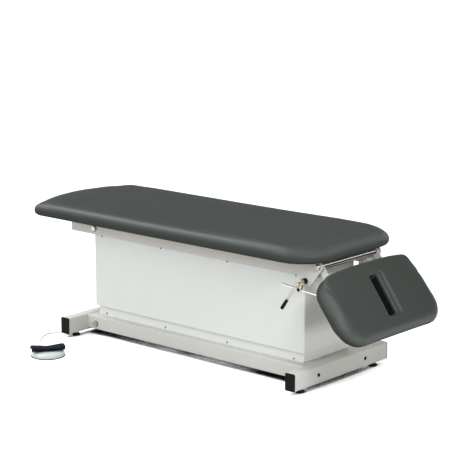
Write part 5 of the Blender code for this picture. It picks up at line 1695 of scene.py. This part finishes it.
class TABLE_OT_switch_trim(Operator):
    """Ribs on the foot switch's pedal, and the rubber ring round its shell"""

    bl_idname = "treatment_table.switch_trim"
    bl_label = "Switch Trim"

    turn = math.radians(55.8)
    pedal_half = 0.076
    pedal_top = 0.0095
    pedal_rise = 0.0065
    rib_places = (0.026, 0.035, 0.044, 0.053, 0.062)
    rib = (0.0022, 0.040, 0.0014)
    rib_sunk = 0.0003
    rib_corner = 0.0009
    rib_edge = 0.0005
    ring_height = 0.0034
    ring_out = 0.0018
    ring_in = 0.0012
    ring_eased = 0.0009

    def execute(self, context):
        self.add_ribs()
        self.add_ring()
        return {"FINISHED"}

    def add_ribs(self):
        pivot = joint_place("pedal_rock")
        tilt = math.atan2(self.pedal_rise, self.pedal_half)
        rib = block("pedal_rib", self.rib, (0, 0, self.rib[2] / 2 - self.rib_sunk))
        with Shaping(rib) as shaping:
            shaping.upright(self.rib_corner, 3)
            shaping.rim(self.rib[2] - self.rib_sunk, self.rib_edge, 2)
        smooth(rib, 40)
        places = []
        for way in (1, -1):
            for x in self.rib_places:
                level = self.pedal_top + self.pedal_rise * x / self.pedal_half
                lie = Matrix.Translation((way * x, 0, level)) @ Matrix.Rotation(-way * tilt, 4, "Y")
                places.append(Matrix.Translation(pivot) @ Matrix.Rotation(self.turn, 4, "Z") @ lie)
        copies(rib, "pedal_ribs", places, "pedal", "navy_plastic", joined=True)

    def add_ring(self):
        low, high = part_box("switch_shell")
        middle = (low + high) / 2
        radius = (high.x - low.x) / 2
        ring = cylinder("switch_ring", radius + self.ring_out, 0, self.ring_height, 64)
        past = self.ring_height + CUT_PAST
        carve(ring, cylinder("ring_bore", radius - self.ring_in, -CUT_PAST, past, 64))
        ease(ring, self.ring_eased, 3, 40)
        place = Matrix.Translation((middle.x, middle.y, 0))
        single(ring, "switch_ring", place, "base", "black_rubber")


class TABLE_OT_drop_brackets(Operator):
    """Angle brackets that hold the drop section's board on its arms, with their screws"""

    bl_idname = "treatment_table.drop_brackets"
    bl_label = "Drop Brackets"

    row = (0.115, 0.205, 0.305)
    length = 0.026
    leg = 0.018
    sheet = 0.0022
    under = 0.0181
    arm_gap = 0.0002
    corner = 0.004
    eased = 0.0004
    screw = (0.0036, 0.0022)
    screw_out = 0.6

    def execute(self, context):
        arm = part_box("drop_arm_near")
        reach = HINGE.y - arm[1].y
        out = self.screw_out * self.leg
        on_board = Matrix.Translation((0, -out, -self.sheet)) @ TURNED_OVER
        on_arm = facing((0, -self.sheet, -out), NEAR)
        places, screws = [], []
        for x in self.row:
            for side in (1, -1):
                seat = Matrix.Translation((x, side * (reach - self.arm_gap), self.under))
                place = DROP_FRAME @ seat @ Matrix.Rotation(0 if side > 0 else math.pi, 4, "Z")
                places.append(place)
                screws += [place @ on_board, place @ on_arm]
        copies(self.bracket(), "drop_bracket", places, "drop_section", "zinc")
        copies(
            pan_screw(*self.screw), "drop_bracket_screws", screws, "drop_section", "bright_steel",
            "dark_steel", joined=True,
        )
        return {"FINISHED"}

    def bracket(self):
        """An angle: one leg under the board, along -Y, and one down the arm."""
        piece = block(
            "drop_bracket", (self.length, self.leg, self.sheet), (0, -self.leg / 2, -self.sheet / 2)
        )
        with Shaping(piece) as shaping:
            bpy.ops.mesh.select_all(action="SELECT")
            bpy.ops.mesh.bisect(plane_co=(0, -self.sheet, 0), plane_no=(0, 1, 0))
            shaping.faces(lambda middle, normal: normal.z < -0.9 and middle.y > -self.sheet)
            shaping.extrude((0, 0, self.sheet - self.leg))
            shaping.edges(self.leg_corner)
            shaping.round(self.corner, 4)
            shaping.tidy()
        ease(piece, self.eased, 2, 30)
        return piece

    def leg_corner(self, a, b):
        """The edges through the sheet at a leg's free corners."""
        if abs(a.x - b.x) > MERGED or abs(a.x) < self.length / 2 - MERGED:
            return False
        on_board = max(a.y, b.y) < MERGED - self.leg and abs(a.z - b.z) > LEVEL
        on_arm = max(a.z, b.z) < MERGED - self.leg and abs(a.y - b.y) > LEVEL
        return on_board or on_arm


class TABLE_PT_looks(Panel):
    """The treatment table's looks"""

    bl_idname = "TABLE_PT_looks"
    bl_label = "Treatment Table"
    bl_space_type = "VIEW_3D"
    bl_region_type = "UI"
    bl_category = "Treatment Table"

    def draw(self, context):
        settings = context.scene.table_looks
        for title in ("stage", "upholstery", "hardware", "frame"):
            box = self.layout.box()
            box.label(text=title.title())
            group = getattr(settings, title)
            for name in group.__annotations__:
                box.prop(group, name)
        for operator in OPERATORS:
            self.layout.operator(operator.bl_idname)


OPERATORS = (
    TABLE_OT_stage, TABLE_OT_switch_cord, TABLE_OT_finishes, TABLE_OT_main_pad, TABLE_OT_drop_pad,
    TABLE_OT_hems, TABLE_OT_slot_painted_shade_sheet, TABLE_OT_closing_plates, TABLE_OT_skirt_screws,
    TABLE_OT_pivot_bolts, TABLE_OT_hinge_bolts, TABLE_OT_foot_nuts, TABLE_OT_hole_plugs,
    TABLE_OT_rail_plates, TABLE_OT_welds, TABLE_OT_trunnion_cap, TABLE_OT_switch_trim,
    TABLE_OT_drop_brackets,
)
CLASSES = (
    StageLooks, UpholsteryLooks, HardwareLooks, FrameLooks, TableLooks, *OPERATORS, TABLE_PT_looks,
)


def register():
    for kind in CLASSES:
        bpy.utils.register_class(kind)
    bpy.types.Scene.table_looks = PointerProperty(type=TableLooks)


def unregister():
    del bpy.types.Scene.table_looks
    for kind in reversed(CLASSES):
        bpy.utils.unregister_class(kind)


def main():
    register()
    for operator in OPERATORS:
        group, name = operator.bl_idname.split(".")
        getattr(getattr(bpy.ops, group), name)()


if __name__ == "__main__":
    main()
